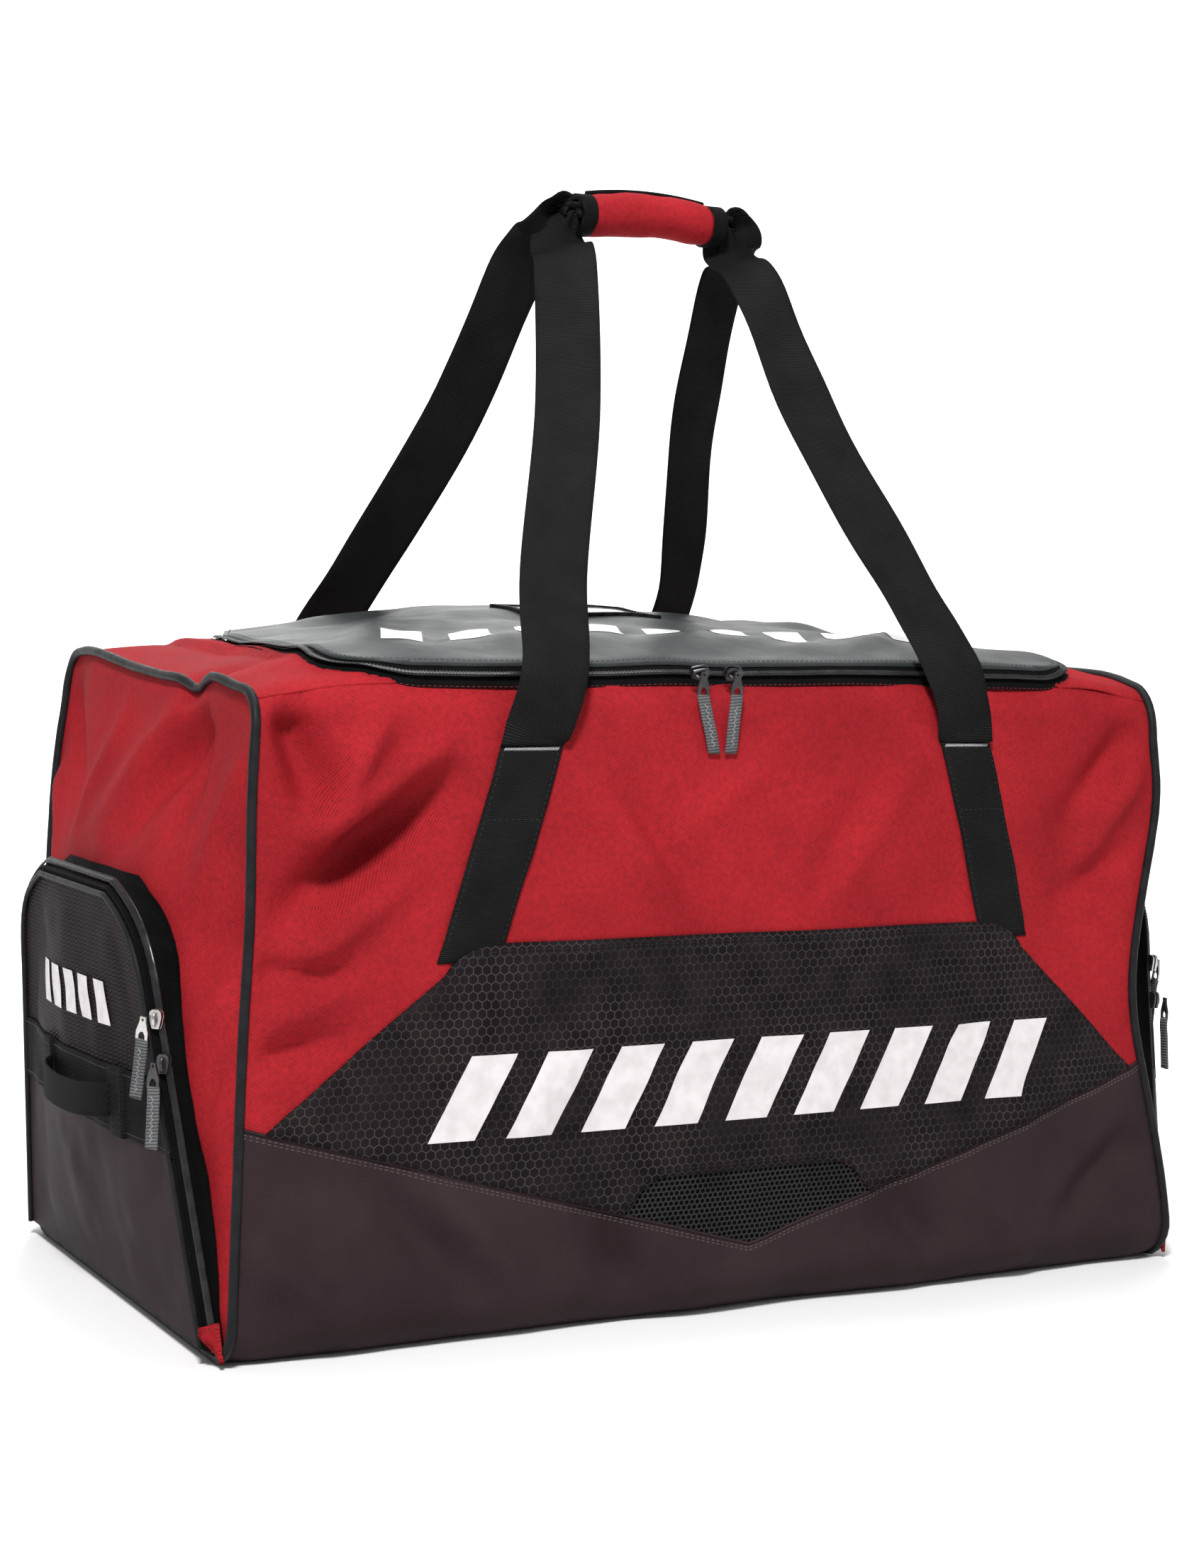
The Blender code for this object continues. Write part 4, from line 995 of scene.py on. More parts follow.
MADE = {
    "red_fabric": make_red_cloth("red_fabric"),
    "dark_fabric": make_coated_cloth("dark_fabric"),
    "overlay_fabric": make_overlay_cloth("overlay_fabric"),
    "vent_mesh": make_mesh_cloth("vent_mesh", 0.0042, (0.030, 0.030, 0.030), 0.0008),
    "mesh_fabric": make_zigzag_cloth("mesh_fabric"),
    "black_webbing": make_webbing("black_webbing", (0.0110, 0.0108, 0.0108)),
    "grey_webbing": make_webbing("grey_webbing", (0.110, 0.112, 0.116), 0.0022),
    "binding": make_webbing("binding", (0.0075, 0.0075, 0.0080), 0.0013),
    "lid_tarpaulin": make_tarpaulin("lid_tarpaulin"),
    "window_vinyl": make_vinyl("window_vinyl"),
    "card": make_plain("card", (0.80, 0.81, 0.78), 0.6, worn=0.93),
    "piping": make_plain("piping", (0.0085, 0.0085, 0.0095), 0.50, 0.002, 0.0002, 1.5, mirror=0.10),
    "zip_tape": make_webbing("zip_tape", (0.0060, 0.0060, 0.0064), 0.0009),
    "zip_black": make_plain("zip_black", (0.010, 0.010, 0.011), 0.26, worn=1.6),
    "gunmetal": make_plain("gunmetal", (0.060, 0.060, 0.064), 0.28, worn=1.5, metal=0.85),
    "silver_metal": make_plain("silver_metal", (0.48, 0.47, 0.46), 0.26, worn=1.15, metal=1.0),
    "print": make_plain("print", (0.62, 0.58, 0.59), 0.38, grain=0.0016, depth=0.0002, worn=0.86),
    "lid_print": make_plain("lid_print", (0.78, 0.79, 0.78), 0.30, worn=0.92),
    "black_thread": make_plain("black_thread", (0.008, 0.008, 0.009), 0.6),
    "red_thread": make_plain("red_thread", (0.130, 0.006, 0.009), 0.6),
    "grey_thread": make_plain("grey_thread", (0.30, 0.30, 0.31), 0.6),
    "brown_thread": make_plain("brown_thread", (0.070, 0.055, 0.055), 0.6),
}


# Body


def seam_line(start, end, count=60):
    """Places along the seam over the lower panel, from one x to another."""
    return [(x, float(seam_height(x))) for x in np.linspace(start, end, count + 1)]


def overlay_outline(grow=0.0):
    """The outline of an overlay without its lower edge, from its lowest right corner to its lowest left."""
    base_x = LENGTH / 2 - SEAM_MARGIN - OVERLAY_INSET + grow
    shoulder = (OVERLAY_TOP_HALF + OVERLAY_SHOULDER + grow, OVERLAY_TOP - OVERLAY_CORNER)
    bend = (OVERLAY_TOP_HALF + OVERLAY_CORNER + grow / 2, OVERLAY_TOP + grow)
    top = (OVERLAY_TOP_HALF - OVERLAY_CORNER, OVERLAY_TOP + grow)
    right = [(base_x, float(seam_height(base_x)))] + rounded(shoulder, bend, top)
    return right + mirrored(right)


def rounded(start, bend, end, count=6, pull=0.67):
    """Points on a soft corner from start to end, drawn towards bend by pull."""
    near_start = [a + (b - a) * pull for a, b in zip(start, bend)]
    near_end = [a + (b - a) * pull for a, b in zip(end, bend)]
    found = []
    for t in np.linspace(0, 1, count + 1):
        weights = ((1 - t) ** 3, 3 * t * (1 - t) ** 2, 3 * t**2 * (1 - t), t**3)
        corners = (start, near_start, near_end, end)
        found.append(tuple(sum(w * p[k] for w, p in zip(weights, corners)) for k in (0, 1)))
    return found


def vent_outline(grow=0.0):
    """The outline of the mesh vent without its lower edge, from its lowest right corner."""
    low = (VENT_HALF + grow, float(seam_height(VENT_HALF)))
    shoulder = (VENT_TOP_HALF + 0.010 + grow, VENT_TOP - 0.008)
    bend = (VENT_TOP_HALF + grow, VENT_TOP + grow)
    top = (VENT_TOP_HALF - 0.012, VENT_TOP + grow)
    right = [low] + rounded(shoulder, bend, top, 3)
    return right + mirrored(right)


def make_long_side(name, side):
    """One long side: its red cloth, lower panel, overlay and their seams."""
    wall = long_wall(side)
    top = roof_reach(LID_FRONT - ZIP_TAPE_WIDTH * TAPE_LAP) if side < 0 else roof_reach(-LID_BACK)
    crest = [
        (x, top + 0.0008 * float(wander(x, 0.0, 0.012, 31))) for x in np.linspace(-BODY_EDGE, BODY_EDGE, 90)
    ]
    red = [(x, s + GAP) for x, s in seam_line(BODY_EDGE, -BODY_EDGE)] + crest
    cloth = sheet_on(f"{name}_cloth", [red], wall, MADE["red_fabric"])
    placed(cloth, "bag", "red_fabric", f"{name}_panel")
    under = [(x, UNDER_EDGE) for x in np.linspace(BODY_EDGE, -BODY_EDGE, 60)]
    lower = under + [(x, s - GAP) for x, s in seam_line(-BODY_EDGE, BODY_EDGE)]
    cloth = sheet_on(f"{name}_lower_cloth", [lower], wall, MADE["dark_fabric"], LOWER_OUT, rim=LOWER_OUT)
    placed(cloth, "bag", "dark_fabric", f"{name}_lower_panel")
    upper_edge = overlay_outline()
    hem = [(x, s + GAP) for x, s in seam_line(upper_edge[-1][0], -VENT_HALF, 24)[1:]]
    hem_right = [(x, s + GAP) for x, s in seam_line(VENT_HALF, upper_edge[0][0], 24)[:-1]]
    gap = vent_outline()[::-1]
    outline = upper_edge + hem + gap[1:-1] + hem_right if side < 0 else upper_edge + [(0, SEAM_APEX + GAP)]
    out = LAYER_GAP + OVERLAY
    cloth = sheet_on(f"{name}_overlay_cloth", [outline], wall, MADE["overlay_fabric"], out, rim=out)
    placed(cloth, "bag", "overlay_fabric", f"{name}_overlay")
    make_long_seams(name, side, out)


def make_long_seams(name, side, out):
    """Stitching along the overlay's edge and along the seam over the lower panel."""
    wall = long_wall(side)
    lines = [overlay_outline(-0.0050)[1:-1], overlay_outline(-0.0075)[1:-1]]
    if side < 0:
        lines += [vent_outline(0.0045)]
    rows = stitched(f"{name}_overlay_stitches", lines, wall, out, MADE["black_thread"])
    placed(rows, "bag", "overlay_fabric")
    lines = [[(x, s + offset) for x, s in seam_line(-BODY_EDGE, BODY_EDGE)] for offset in (-0.0030, -0.0052)]
    rows = stitched(f"{name}_seam_stitches", lines, wall, LOWER_OUT, MADE["brown_thread"])
    placed(rows, "bag", "dark_fabric")
    line = wall(*np.array(seam_line(-BODY_EDGE, BODY_EDGE, 110)).T, 0.0007)
    placed(tube(f"{name}_seam_roll", line, 0.0011, MADE["dark_fabric"], 6), "bag", "dark_fabric")


def make_vent():
    """The mesh vent in the front overlay."""
    outline = vent_outline(-GAP) + [(0, SEAM_APEX + 2 * GAP)]
    cloth = sheet_on("vent_mesh_cloth", [outline], long_wall(-1), MADE["vent_mesh"], 0.0006)
    placed(cloth, "bag", "mesh_fabric", "front_vent_mesh")


def make_bottom():
    """The bottom panel, which the bag stands on."""
    half = DEPTH / 2 - BOTTOM_RADIUS - GAP
    outline = [(-BODY_EDGE, -half), (BODY_EDGE, -half), (BODY_EDGE, half), (-BODY_EDGE, half)]
    cloth = sheet_on("bottom_cloth", [outline], floor_wall, MADE["dark_fabric"], -0.0008, 0.02)
    placed(cloth, "bag", "dark_fabric", "bottom_panel")


def end_ring(inset):
    """The body's outline across an end, this far inside it, from the middle of the top round the front."""
    samples = np.concatenate([
        np.linspace(float(roof_reach(0.0)), ROOF_EDGE, 8),
        np.linspace(ROOF_EDGE, HEIGHT - TOP_RADIUS, 7)[1:],
        np.linspace(HEIGHT - TOP_RADIUS, BOTTOM_RADIUS, 24)[1:],
        np.linspace(BOTTOM_RADIUS, UNDER_EDGE, 6)[1:],
    ])
    y, z, out_y, out_z = section(samples)
    front = np.stack([y - out_y * inset, z - out_z * inset], axis=-1)
    back = front[::-1][:-1] * (-1, 1)
    return [tuple(place) for place in np.concatenate([front, back])]


def make_end(name, side):
    """A red end panel and the piping round it."""
    outline = end_ring(TUCK)
    cloth = sheet_on(f"{name}_end_cloth", [outline], end_wall(side), MADE["red_fabric"])
    placed(cloth, "bag", "red_fabric", f"{name}_end_panel")
    samples = np.concatenate([
        np.linspace(ROOF_EDGE + 0.16, ROOF_EDGE, 12)[:-1],
        np.linspace(ROOF_EDGE, HEIGHT - TOP_RADIUS, 8)[:-1],
        np.linspace(HEIGHT - TOP_RADIUS, BOTTOM_RADIUS, 44)[:-1],
        np.linspace(BOTTOM_RADIUS, UNDER_EDGE, 8),
    ])
    runs = [long_wall(face)(side * LENGTH / 2, samples, 0.0010) for face in (-1, 1)]
    points = np.concatenate([runs[0], runs[1][::-1]])
    points[:, 2] = np.maximum(points[:, 2], PIPING_RADIUS)
    radii = PIPING_RADIUS * (1 + 0.05 * wander(points[:, 1], points[:, 2], 0.012, 33))
    cord = tube(f"{name}_end_cord", points, radii, MADE["piping"], 12, closed=True)
    placed(cord, "bag", "piping", f"{name}_end_piping")


CORNER_STEPS = 12  # how finely the lid's round corners are drawn


def lid_outline(grow, count=CORNER_STEPS):
    """The lid's outline in plan, grown outwards; it starts at the back right and ends at the back left."""
    right = [(LID_HALF + grow - LID_TAPER, LID_BACK), (LID_HALF + grow - LID_TAPER / 3, LID_BACK / 2)]
    right += arc((LID_HALF - LID_CORNER, LID_FRONT + LID_CORNER), LID_CORNER + grow, 0, -90, count)
    return right + mirrored(right)


def make_top_ends():
    """The red top beside each end of the lid."""
    grow = ZIP_TAPE_WIDTH * TAPE_LAP
    front = LID_FRONT - grow
    corner = lid_outline(grow, CORNER_STEPS)[: CORNER_STEPS + 2]
    for name, side in SIDES.items():
        outline = corner + [(BODY_EDGE, front), (BODY_EDGE, LID_BACK)]
        outline = [(side * x, y) for x, y in outline]
        cloth = sheet_on(f"{name}_top_cloth", [outline], roof, MADE["red_fabric"])
        placed(cloth, "bag", "red_fabric", f"{name}_top_gusset")
        line = [(side * x, front) for x in np.linspace(corner[-1][0] + 0.01, BODY_EDGE, 20)]
        roll = tube(f"{name}_top_seam", roof(*np.array(line).T, 0.0002), 0.0010, MADE["red_fabric"], 6)
        placed(roll, "bag", "red_fabric")


# Lid and its zip


def make_lid():
    """The tarpaulin lid with its lining and the stitches along its edge."""
    outline = along_outline(lid_outline(0), 0.02)
    material = MADE["lid_tarpaulin"]
    top = sheet_on("lid_sheet", [outline], lid_roof, material, LID_THICKNESS, 0.0060, LID_THICKNESS)
    under = sheet_on("lid_underside", [outline], lid_roof, material, 0.0002, 0.010)
    under.data.flip_normals()
    placed(top, "lid", "lid_tarpaulin", "lid_panel")
    placed(under, "lid", "lid_tarpaulin")
    line = lid_outline(-0.0045)
    rows = stitched("lid_edge_stitches", [line], lid_roof, LID_THICKNESS, MADE["black_thread"])
    placed(rows, "lid", "lid_tarpaulin")


def box_line(half_x, half_y, centre=WINDOW_CENTRE):
    """A rectangle round a centre."""
    x, y = centre
    return [(x + a * half_x, y + b * half_y) for a, b in ((-1, -1), (1, -1), (1, 1), (-1, 1))]


def make_window():
    """The card window: white card under clear vinyl, with a stitched webbing frame."""
    half_x, half_y = WINDOW_HALF
    base = LID_THICKNESS + 0.0004
    card = sheet_on("card", [box_line(half_x * 0.94, half_y * 0.90)], lid_roof, MADE["card"], base, 0.006)
    placed(card, "lid", "window_vinyl")
    vinyl = sheet_on("card_window_vinyl", [box_line(half_x, half_y)], lid_roof, MADE["window_vinyl"],
                     base + 0.0010, 0.006)
    placed(vinyl, "lid", "window_vinyl", "card_window")
    width = 0.0048
    sides = []
    for sign in (-1, 1):
        x, y = WINDOW_CENTRE
        sides.append(box_line(half_x + width, width / 2, (x, y + sign * (half_y + width / 4))))
        sides.append(box_line(width / 2, half_y + width, (x + sign * (half_x + width / 4), y)))
    out = base + 0.0022
    edge = sheet_on("card_window_binding", sides, lid_roof, MADE["binding"], out, 0.005, out)
    placed(edge, "lid", "black_webbing", "card_window_frame")
    line = box_line(half_x + width / 4, half_y + width / 4)
    rows = stitched("card_window_stitches", [line + line[:1]], lid_roof, out, MADE["grey_thread"], 0.0030,
                    FINE_STITCH)
    placed(rows, "lid", "black_webbing")


# Rows of bars: the row's middle, width and height, the number of bars, their slant, and the gap's share
SIDE_BARS = ((0.005, 0.172), 0.520, 0.058, 9, 0.030, 0.40)
LID_BARS = ((0.0, -0.085), 0.500, 0.060, 9, 0.026, 0.40)
PRINT_OUT = 0.0004  # how far printing on the lid stands out of it


def slanted_bars(centre, width, height, count, slant, gap=0.36):
    """Outlines of a row of slanted bars, a plain mark that stands where printing would be."""
    pitch = width / count
    low, high = centre[1] - height / 2, centre[1] + height / 2
    bars = []
    for index in range(count):
        left = centre[0] - width / 2 + pitch * index
        right = left + pitch * (1 - gap)
        bars.append([(left, low), (right, low), (right + slant, high), (left + slant, high)])
    return bars


def make_prints():
    """Plain slanted bars in place of printing."""
    out = LAYER_GAP + OVERLAY + 0.00035
    for face, side in FACES.items():
        made = sheet_on(f"{face}_print", slanted_bars(*SIDE_BARS), long_wall(side), MADE["print"], out)
        placed(made, "bag", "overlay_fabric")
    out = LID_THICKNESS + PRINT_OUT
    made = sheet_on("lid_print", slanted_bars(*LID_BARS), lid_roof, MADE["lid_print"], out, 0.006)
    placed(made, "lid", "lid_tarpaulin")
    for name, side in SIDES.items():
        bars = slanted_bars((0.0, 0.224), 0.150, 0.030, 5, 0.008 * -side)
        made = sheet_on(f"{name}_pocket_print", bars, pocket_wall(side), MADE["print"], 0.0009, 0.005)
        placed(made, f"{name}_pocket_door", "mesh_fabric")


COIL_PITCH = 0.0025
COIL_SECTION = ((-1.0, 0.0), (-0.62, 0.60), (-0.14, 0.46), (0.14, 0.46), (0.62, 0.60), (1.0, 0.0))


def zip_coil(name, line, normals, material, half_width=0.0030, height=0.0026):
    """A closed coil zip: two rows of teeth side by side, ridged along their length."""
    line = np.asarray(line, float)
    reach = reached(line)
    count = int(reach[-1] / COIL_PITCH) * 2
    at = np.linspace(0, reach[-1], count + 1)
    points = picked(line, reach, at)
    above = unit(picked(normals, reach, at))
    across = unit(np.cross(frames_along(points), above))
    ridge = np.where(np.arange(count + 1) % 2 == 0, 1.0, 0.45)
    rings = []
    for sideways, up in COIL_SECTION:
        # the two rows of teeth fall between each other
        swell = ridge if sideways < 0 else 1.45 - ridge
        rise = height * (0.45 + 0.85 * up * swell)
        rings.append(points + across * half_width * sideways + above * rise[:, None])
    return swept(name, np.stack(rings, axis=1), material)


def wall_line(wall, places, out=0.0):
    """Points along places on a wall, and the outward directions there."""
    u, v = np.array(places, float).T
    points = wall(u, v, out)
    return points, unit(wall(u, v, out + 0.001) - points)


def make_lid_zip():
    """The zip round the lid: its tape, its coil and the seam that holds it."""
    inner = open_line(lid_outline(GAP), 0.02)
    outer = open_line(lid_outline(GAP + ZIP_TAPE_WIDTH), 0.02)
    tape = sheet_on("lid_zip_band", [inner + outer[::-1]], roof, MADE["zip_tape"], -0.0002, 0.0050)
    placed(tape, "bag", "zip_black", "lid_zip_tape")
    line = open_line(lid_outline(GAP + COIL_INSET * 0.85, 24), 0.004)
    points, normals = wall_line(roof, line, 0.0006)
    placed(zip_coil("lid_zip_teeth", points, normals, MADE["zip_black"]), "bag", "zip_black", "lid_zip_coil")
    line = open_line(lid_outline(GAP + ZIP_TAPE_WIDTH * 0.93), 0.01)
    rows = stitched("lid_zip_stitches", [line], roof, 0.0, MADE["red_thread"])
    placed(rows, "bag", "zip_black")


# Carrying straps


def strap_x(s):
    """How far from the middle the sewn strap lies at this height."""
    return TACK_X + STRAP_SLANT * (TACK_HEIGHT - s)


def webbing_section(width, thickness, count=8):
    """A strap's section: places across it and how far out of its middle, round its edge."""
    across = np.linspace(-1, 1, count + 1) * (width / 2 - WEBBING_EDGE)
    half = thickness / 2
    top = [(a, half) for a in across]
    bottom = [(a, -half) for a in across[::-1]]
    return np.array([(-width / 2, 0.0)] + top + [(width / 2, 0.0)] + bottom)


STRAP_TUCK = 0.012  # how far a strap goes down under the overlay


def base_rings(wall, side):
    """Rings up the sewn part of a strap, which sinks in where the overlay covers it."""
    shape = webbing_section(STRAP_WIDTH, WEBBING)
    rings = []
    for s in np.linspace(OVERLAY_TOP - STRAP_TUCK, TACK_HEIGHT, 28):
        under = -0.0016 * float(smooth((OVERLAY_TOP + 0.002 - s) / 0.008))
        across, out = side * strap_x(s) + shape[:, 0], LAYER_GAP + WEBBING / 2 + under + shape[:, 1]
        rings.append(wall(across, s + 0 * across, out))
    return rings


def make_strap_bases():
    """The sewn part of each strap, tucked under the overlay, with a bar tack at its top."""
    for face, wall_side in FACES.items():
        wall = long_wall(wall_side)
        for hand, side in SIDES.items():
            name = f"{face}_{hand}_strap"
            base = swept(f"{name}_sewn", base_rings(wall, side), MADE["black_webbing"])
            placed(base, "bag", "black_webbing", f"{name}_base")
            make_strap_stitches(name, side, wall, LAYER_GAP + WEBBING)


def make_strap_stitches(name, side, wall, out):
    """The bar tack, a fainter row lower down, and the rows along both edges."""
    reach = STRAP_WIDTH / 2 - 0.003

    def across(s, count=2):
        return [(side * strap_x(s) + x, s) for x in np.linspace(-reach, reach, count)]

    tack = stitched(f"{name}_tack", [across(TACK_HEIGHT - 0.0022)], wall, out, MADE["grey_thread"], 0.0013,
                    TACK_STITCH, 1.4)
    placed(tack, "bag", "black_webbing")
    rows = [across(TACK_HEIGHT - 0.050)]
    rows += [[(side * strap_x(s) + edge * reach, s) for s in (OVERLAY_TOP + 0.002, TACK_HEIGHT - 0.004)]
             for edge in (-1, 1)]
    placed(stitched(f"{name}_rows", rows, wall, out, MADE["black_thread"]), "bag", "black_webbing")


def blended(points, share):
    """A point on a smooth curve through the points, share running from 0 to 1."""
    spans = len(points) - 1
    place = min(int(share * spans), spans - 1)
    t = share * spans - place
    before = points[max(place - 1, 0)]
    start, end = points[place], points[place + 1]
    after = points[min(place + 2, spans)]
    return 0.5 * (
        2 * start
        + (end - before) * t
        + (2 * before - 5 * start + 4 * end - after) * t**2
        + (3 * start - before - 3 * end + after) * t**3
    )


def strap_route(side, end):
    """The line of one free strap leg, from its bar tack to its end of the grip."""
    start = TACK_HEIGHT + TACK_GAP * 0.2
    tack = long_wall(side)(end * strap_x(start), start, 2.5 * LAYER_GAP + WEBBING / 2)
    reach = GRIP_REACH + (GRIP_STEP if side > 0 else 0)
    grip = np.array((HANDLE_X + end * reach, 0, HANDLE_Z + side * GRIP_OFFSET))
    inwards, outwards, up = STRAP_RISE
    route = [tack, tack + np.array((-end * inwards, side * outwards, up))]
    for share, bulge, aside in STRAP_BULGES:
        route.append(tack * (1 - share) + grip * share + np.array((end * aside, side * bulge, 0)))
    beyond, outwards, down = STRAP_HANG
    route.append(grip + np.array((end * beyond, side * outwards, -down)))
    beyond, down = STRAP_LEVEL
    return route + [grip + np.array((end * beyond, 0, -down)), grip]


def make_strap_legs():
    """The free webbing from each bar tack up to the handle, where it folds in two and turns level."""
    for face, side in FACES.items():
        for hand, end in SIDES.items():
            name = f"{face}_{hand}_strap"
            rings = leg_rings(side, end)
            leg = swept(f"{name}_webbing", rings, MADE["black_webbing"])
            placed(leg, f"{face}_strap", "black_webbing", f"{name}_leg")


LEG_STATIONS = 72
FOLD_GAP = 0.0012
STRAP_TWISTS = {(-1, -1): 26, (1, 1): -10}  # how far a leg turns about its length halfway up, in degrees


def leg_rings(side, end):
    """Rings along a leg. Folding turns both halves of the webbing inwards about its middle."""
    shares = np.linspace(0, 1, LEG_STATIONS)
    route = strap_route(side, end)
    middle = np.array([blended(route, share) for share in shares])
    along = frames_along(middle)
    shape = webbing_section(STRAP_WIDTH, WEBBING, 10)
    seed = 50 + 3 * side + end
    rings = []
    for share, place, tangent in zip(shares, middle, along):
        twist = math.radians(STRAP_TWISTS.get((side, end), 0)) * math.sin(math.pi * share)
        out = np.array((side * math.sin(twist), side * math.cos(twist), 0.0))
        out -= tangent * np.dot(out, tangent)
        out /= np.linalg.norm(out)
        across = np.cross(out, tangent) * side
        level = float(smooth(1 - share / 0.05))
        across = across * (1 - level) + np.array((1.0, 0.0, 0.0)) * level
        fold = float(smooth((share - FOLD_START) / FOLD_SPAN))
        closing = float(smooth((share - 0.95) / 0.05))
        angle = fold * (FOLD_CLOSING + (1 - FOLD_CLOSING) * closing) * (math.pi / 2 - 0.02)
        unfolded = math.sin(math.pi * min(share / FOLD_START, 1))
        curl = 0.0035 * unfolded * float(wander(share * 0.5, 0.0, 0.09, seed))
        kink = 0.0020 * float(wander(share * 0.5, 0.1, 0.030, seed + 1)) * (1 - level)
        reach = np.abs(shape[:, 0])
        inner = shape[:, 1]
        sign = np.sign(shape[:, 0])
        soft = np.maximum(reach - 0.002 * fold, 0)
        sideways = sign * soft * math.cos(angle) + sign * (-inner) * math.sin(angle)
        sideways += sign * FOLD_GAP * fold
        inwards = soft * math.sin(angle) - inner * math.cos(angle)
        inwards += curl * (reach / (STRAP_WIDTH / 2)) ** 2 - STRAP_WIDTH / 4 * math.sin(angle)
        inwards += kink * shape[:, 0] / (STRAP_WIDTH / 2)
        rings.append(place + across * sideways[:, None] - out * inwards[:, None])
    return rings


def make_grips():
    """The folded webbing that passes through the handle wrap."""
    for face, side in FACES.items():
        level = HANDLE_Z + side * GRIP_OFFSET
        reach = GRIP_REACH + (GRIP_STEP if side > 0 else 0)
        shape = webbing_section(GRIP_WIDTH, GRIP_THICKNESS * 0.95, 6)
        rings = []
        for x in np.linspace(-reach, reach, 24):
            rings.append([(HANDLE_X + x, y, level + z) for y, z in shape])
        grip = swept(f"{face}_grip_webbing", rings, MADE["black_webbing"])
        placed(grip, f"{face}_strap", "black_webbing", f"{face}_strap_grip")


WRAP_HALF = (0.0185, 0.0150)
WRAP_WALL = 0.0032
WRAP_SLOT = (0.0009, 0.0016)  # clearance of the slot below and above the back grip
WRAP_ARCH = 0.0042  # how far the handle's ends hang lower than its middle
WRAP_LIFT = 0.0016
BINDING_COVER = 0.002  # how far past the frame's bindings the soft ones reach, over the turn of the straps
FLAP_TURN = 86  # where round the wrap the bound edge of its upper flap lies, in degrees from the back


def wrap_faces(grow, thickness):
    """The wrap's outer and inner faces in (y, z): a C drawn round, open where the back grip slips out."""
    below, above = WRAP_SLOT
    mouth_low = GRIP_OFFSET - GRIP_THICKNESS / 2 - below
    mouth_high = GRIP_OFFSET + GRIP_THICKNESS / 2 + above
    faces = []
    for inset in (0.0, thickness):
        half_y, half_z = (value + grow - inset for value in WRAP_HALF)
        low, high = math.asin(mouth_high / half_z), 2 * math.pi + math.asin(mouth_low / half_z)
        turns = np.linspace(low, high, 25)
        faces.append(np.stack([half_y * np.cos(turns), half_z * np.sin(turns)], axis=-1))
    return faces


def wrap_rings(xs, grow, thickness, swell=0.0, seed=70):
    """Rings of the wrap along the handle, padded by swell between its seams."""
    outer, inner = wrap_faces(grow, thickness)
    radial = outer / np.linalg.norm(outer, axis=1)[:, None]
    around = np.linspace(0, 1, len(outer))
    hem = np.sin(math.pi * around) ** 0.35
    rings = []
    for x in xs:
        share = np.clip(abs(x) / HANDLE_HALF, 0, 1)
        lift = swell * (1 - share**8) * hem
        if swell:
            lift = lift + 0.0009 * wander(x + 0 * around, around * 0.10, 0.014, seed) * hem
        arch = -WRAP_ARCH * share**2
        face = outer + radial * lift[:, None]
        ring = np.concatenate([face, inner[::-1]])
        height = HANDLE_Z + ring[:, 1] + arch + WRAP_LIFT
        rings.append(np.stack([HANDLE_X + x + 0 * height, ring[:, 0], height], -1))
    return rings


def make_wrap():
    """The padded handle wrap with its bindings."""
    rings = wrap_rings(np.linspace(-HANDLE_HALF, HANDLE_HALF, 34), 0.0, WRAP_WALL, 0.0016)
    wrap = swept("padded_wrap", rings, MADE["red_fabric"])
    placed(wrap, "front_strap", "red_fabric", "handle_wrap")
    make_wrap_end_bindings()
    make_wrap_slit_bindings()


def make_wrap_end_bindings():
    """The bindings round both ends of the wrap."""
    span = np.linspace(HANDLE_HALF - 0.0006, HANDLE_HALF + BINDING_LENGTH + BINDING_COVER, 8)
    for hand, end in SIDES.items():
        rings = wrap_rings(end * span, 0.0012, WRAP_WALL + 0.0016)
        edge = swept(f"wrap_{hand}_edge_binding", rings, MADE["binding"])
        placed(edge, "front_strap", "black_webbing", f"handle_wrap_{hand}_binding")


def make_wrap_slit_bindings():
    """The bindings along the wrap: on both lips of its slit, and on the edge of its upper flap."""
    outer, inner = wrap_faces(0.0, WRAP_WALL)
    turns = np.degrees(np.arctan2(outer[:, 1], outer[:, 0]))
    flap = int(np.argmin(np.abs(turns - FLAP_TURN)))
    for label, index, sign in (("upper", 0, 1), ("lower", -1, -1), ("flap", flap, 0)):
        place = (outer[index] + inner[index]) / 2 if sign else outer[index] * 1.13
        tilt = math.atan2(place[1], place[0])
        shape = [(math.cos(t) * 0.0017, math.sin(t) * 0.0024) for t in np.linspace(0, 2 * math.pi, 9)[:-1]]
        rings = []
        for x in np.linspace(-HANDLE_HALF, HANDLE_HALF, 24):
            lift = WRAP_LIFT - WRAP_ARCH * (x / HANDLE_HALF) ** 2
            ring = []
            for a, b in shape:
                y = place[0] + b * math.cos(tilt) - a * math.sin(tilt)
                z = place[1] + b * math.sin(tilt) + a * math.cos(tilt) + sign * 0.0004
                ring.append((HANDLE_X + x, y, HANDLE_Z + z + lift))
            rings.append(ring)
        placed(swept(f"wrap_{label}_slit_binding", rings, MADE["binding"]), "front_strap", "black_webbing")


# End pockets


def side_half_width(z):
    """Half the pocket's width at a height below its round corners."""
    share = (z - POCKET_BOTTOM) / (POCKET_SHOULDER[1] - POCKET_BOTTOM)
    return POCKET_BOTTOM_HALF + (POCKET_SHOULDER[0] - POCKET_BOTTOM_HALF) * share


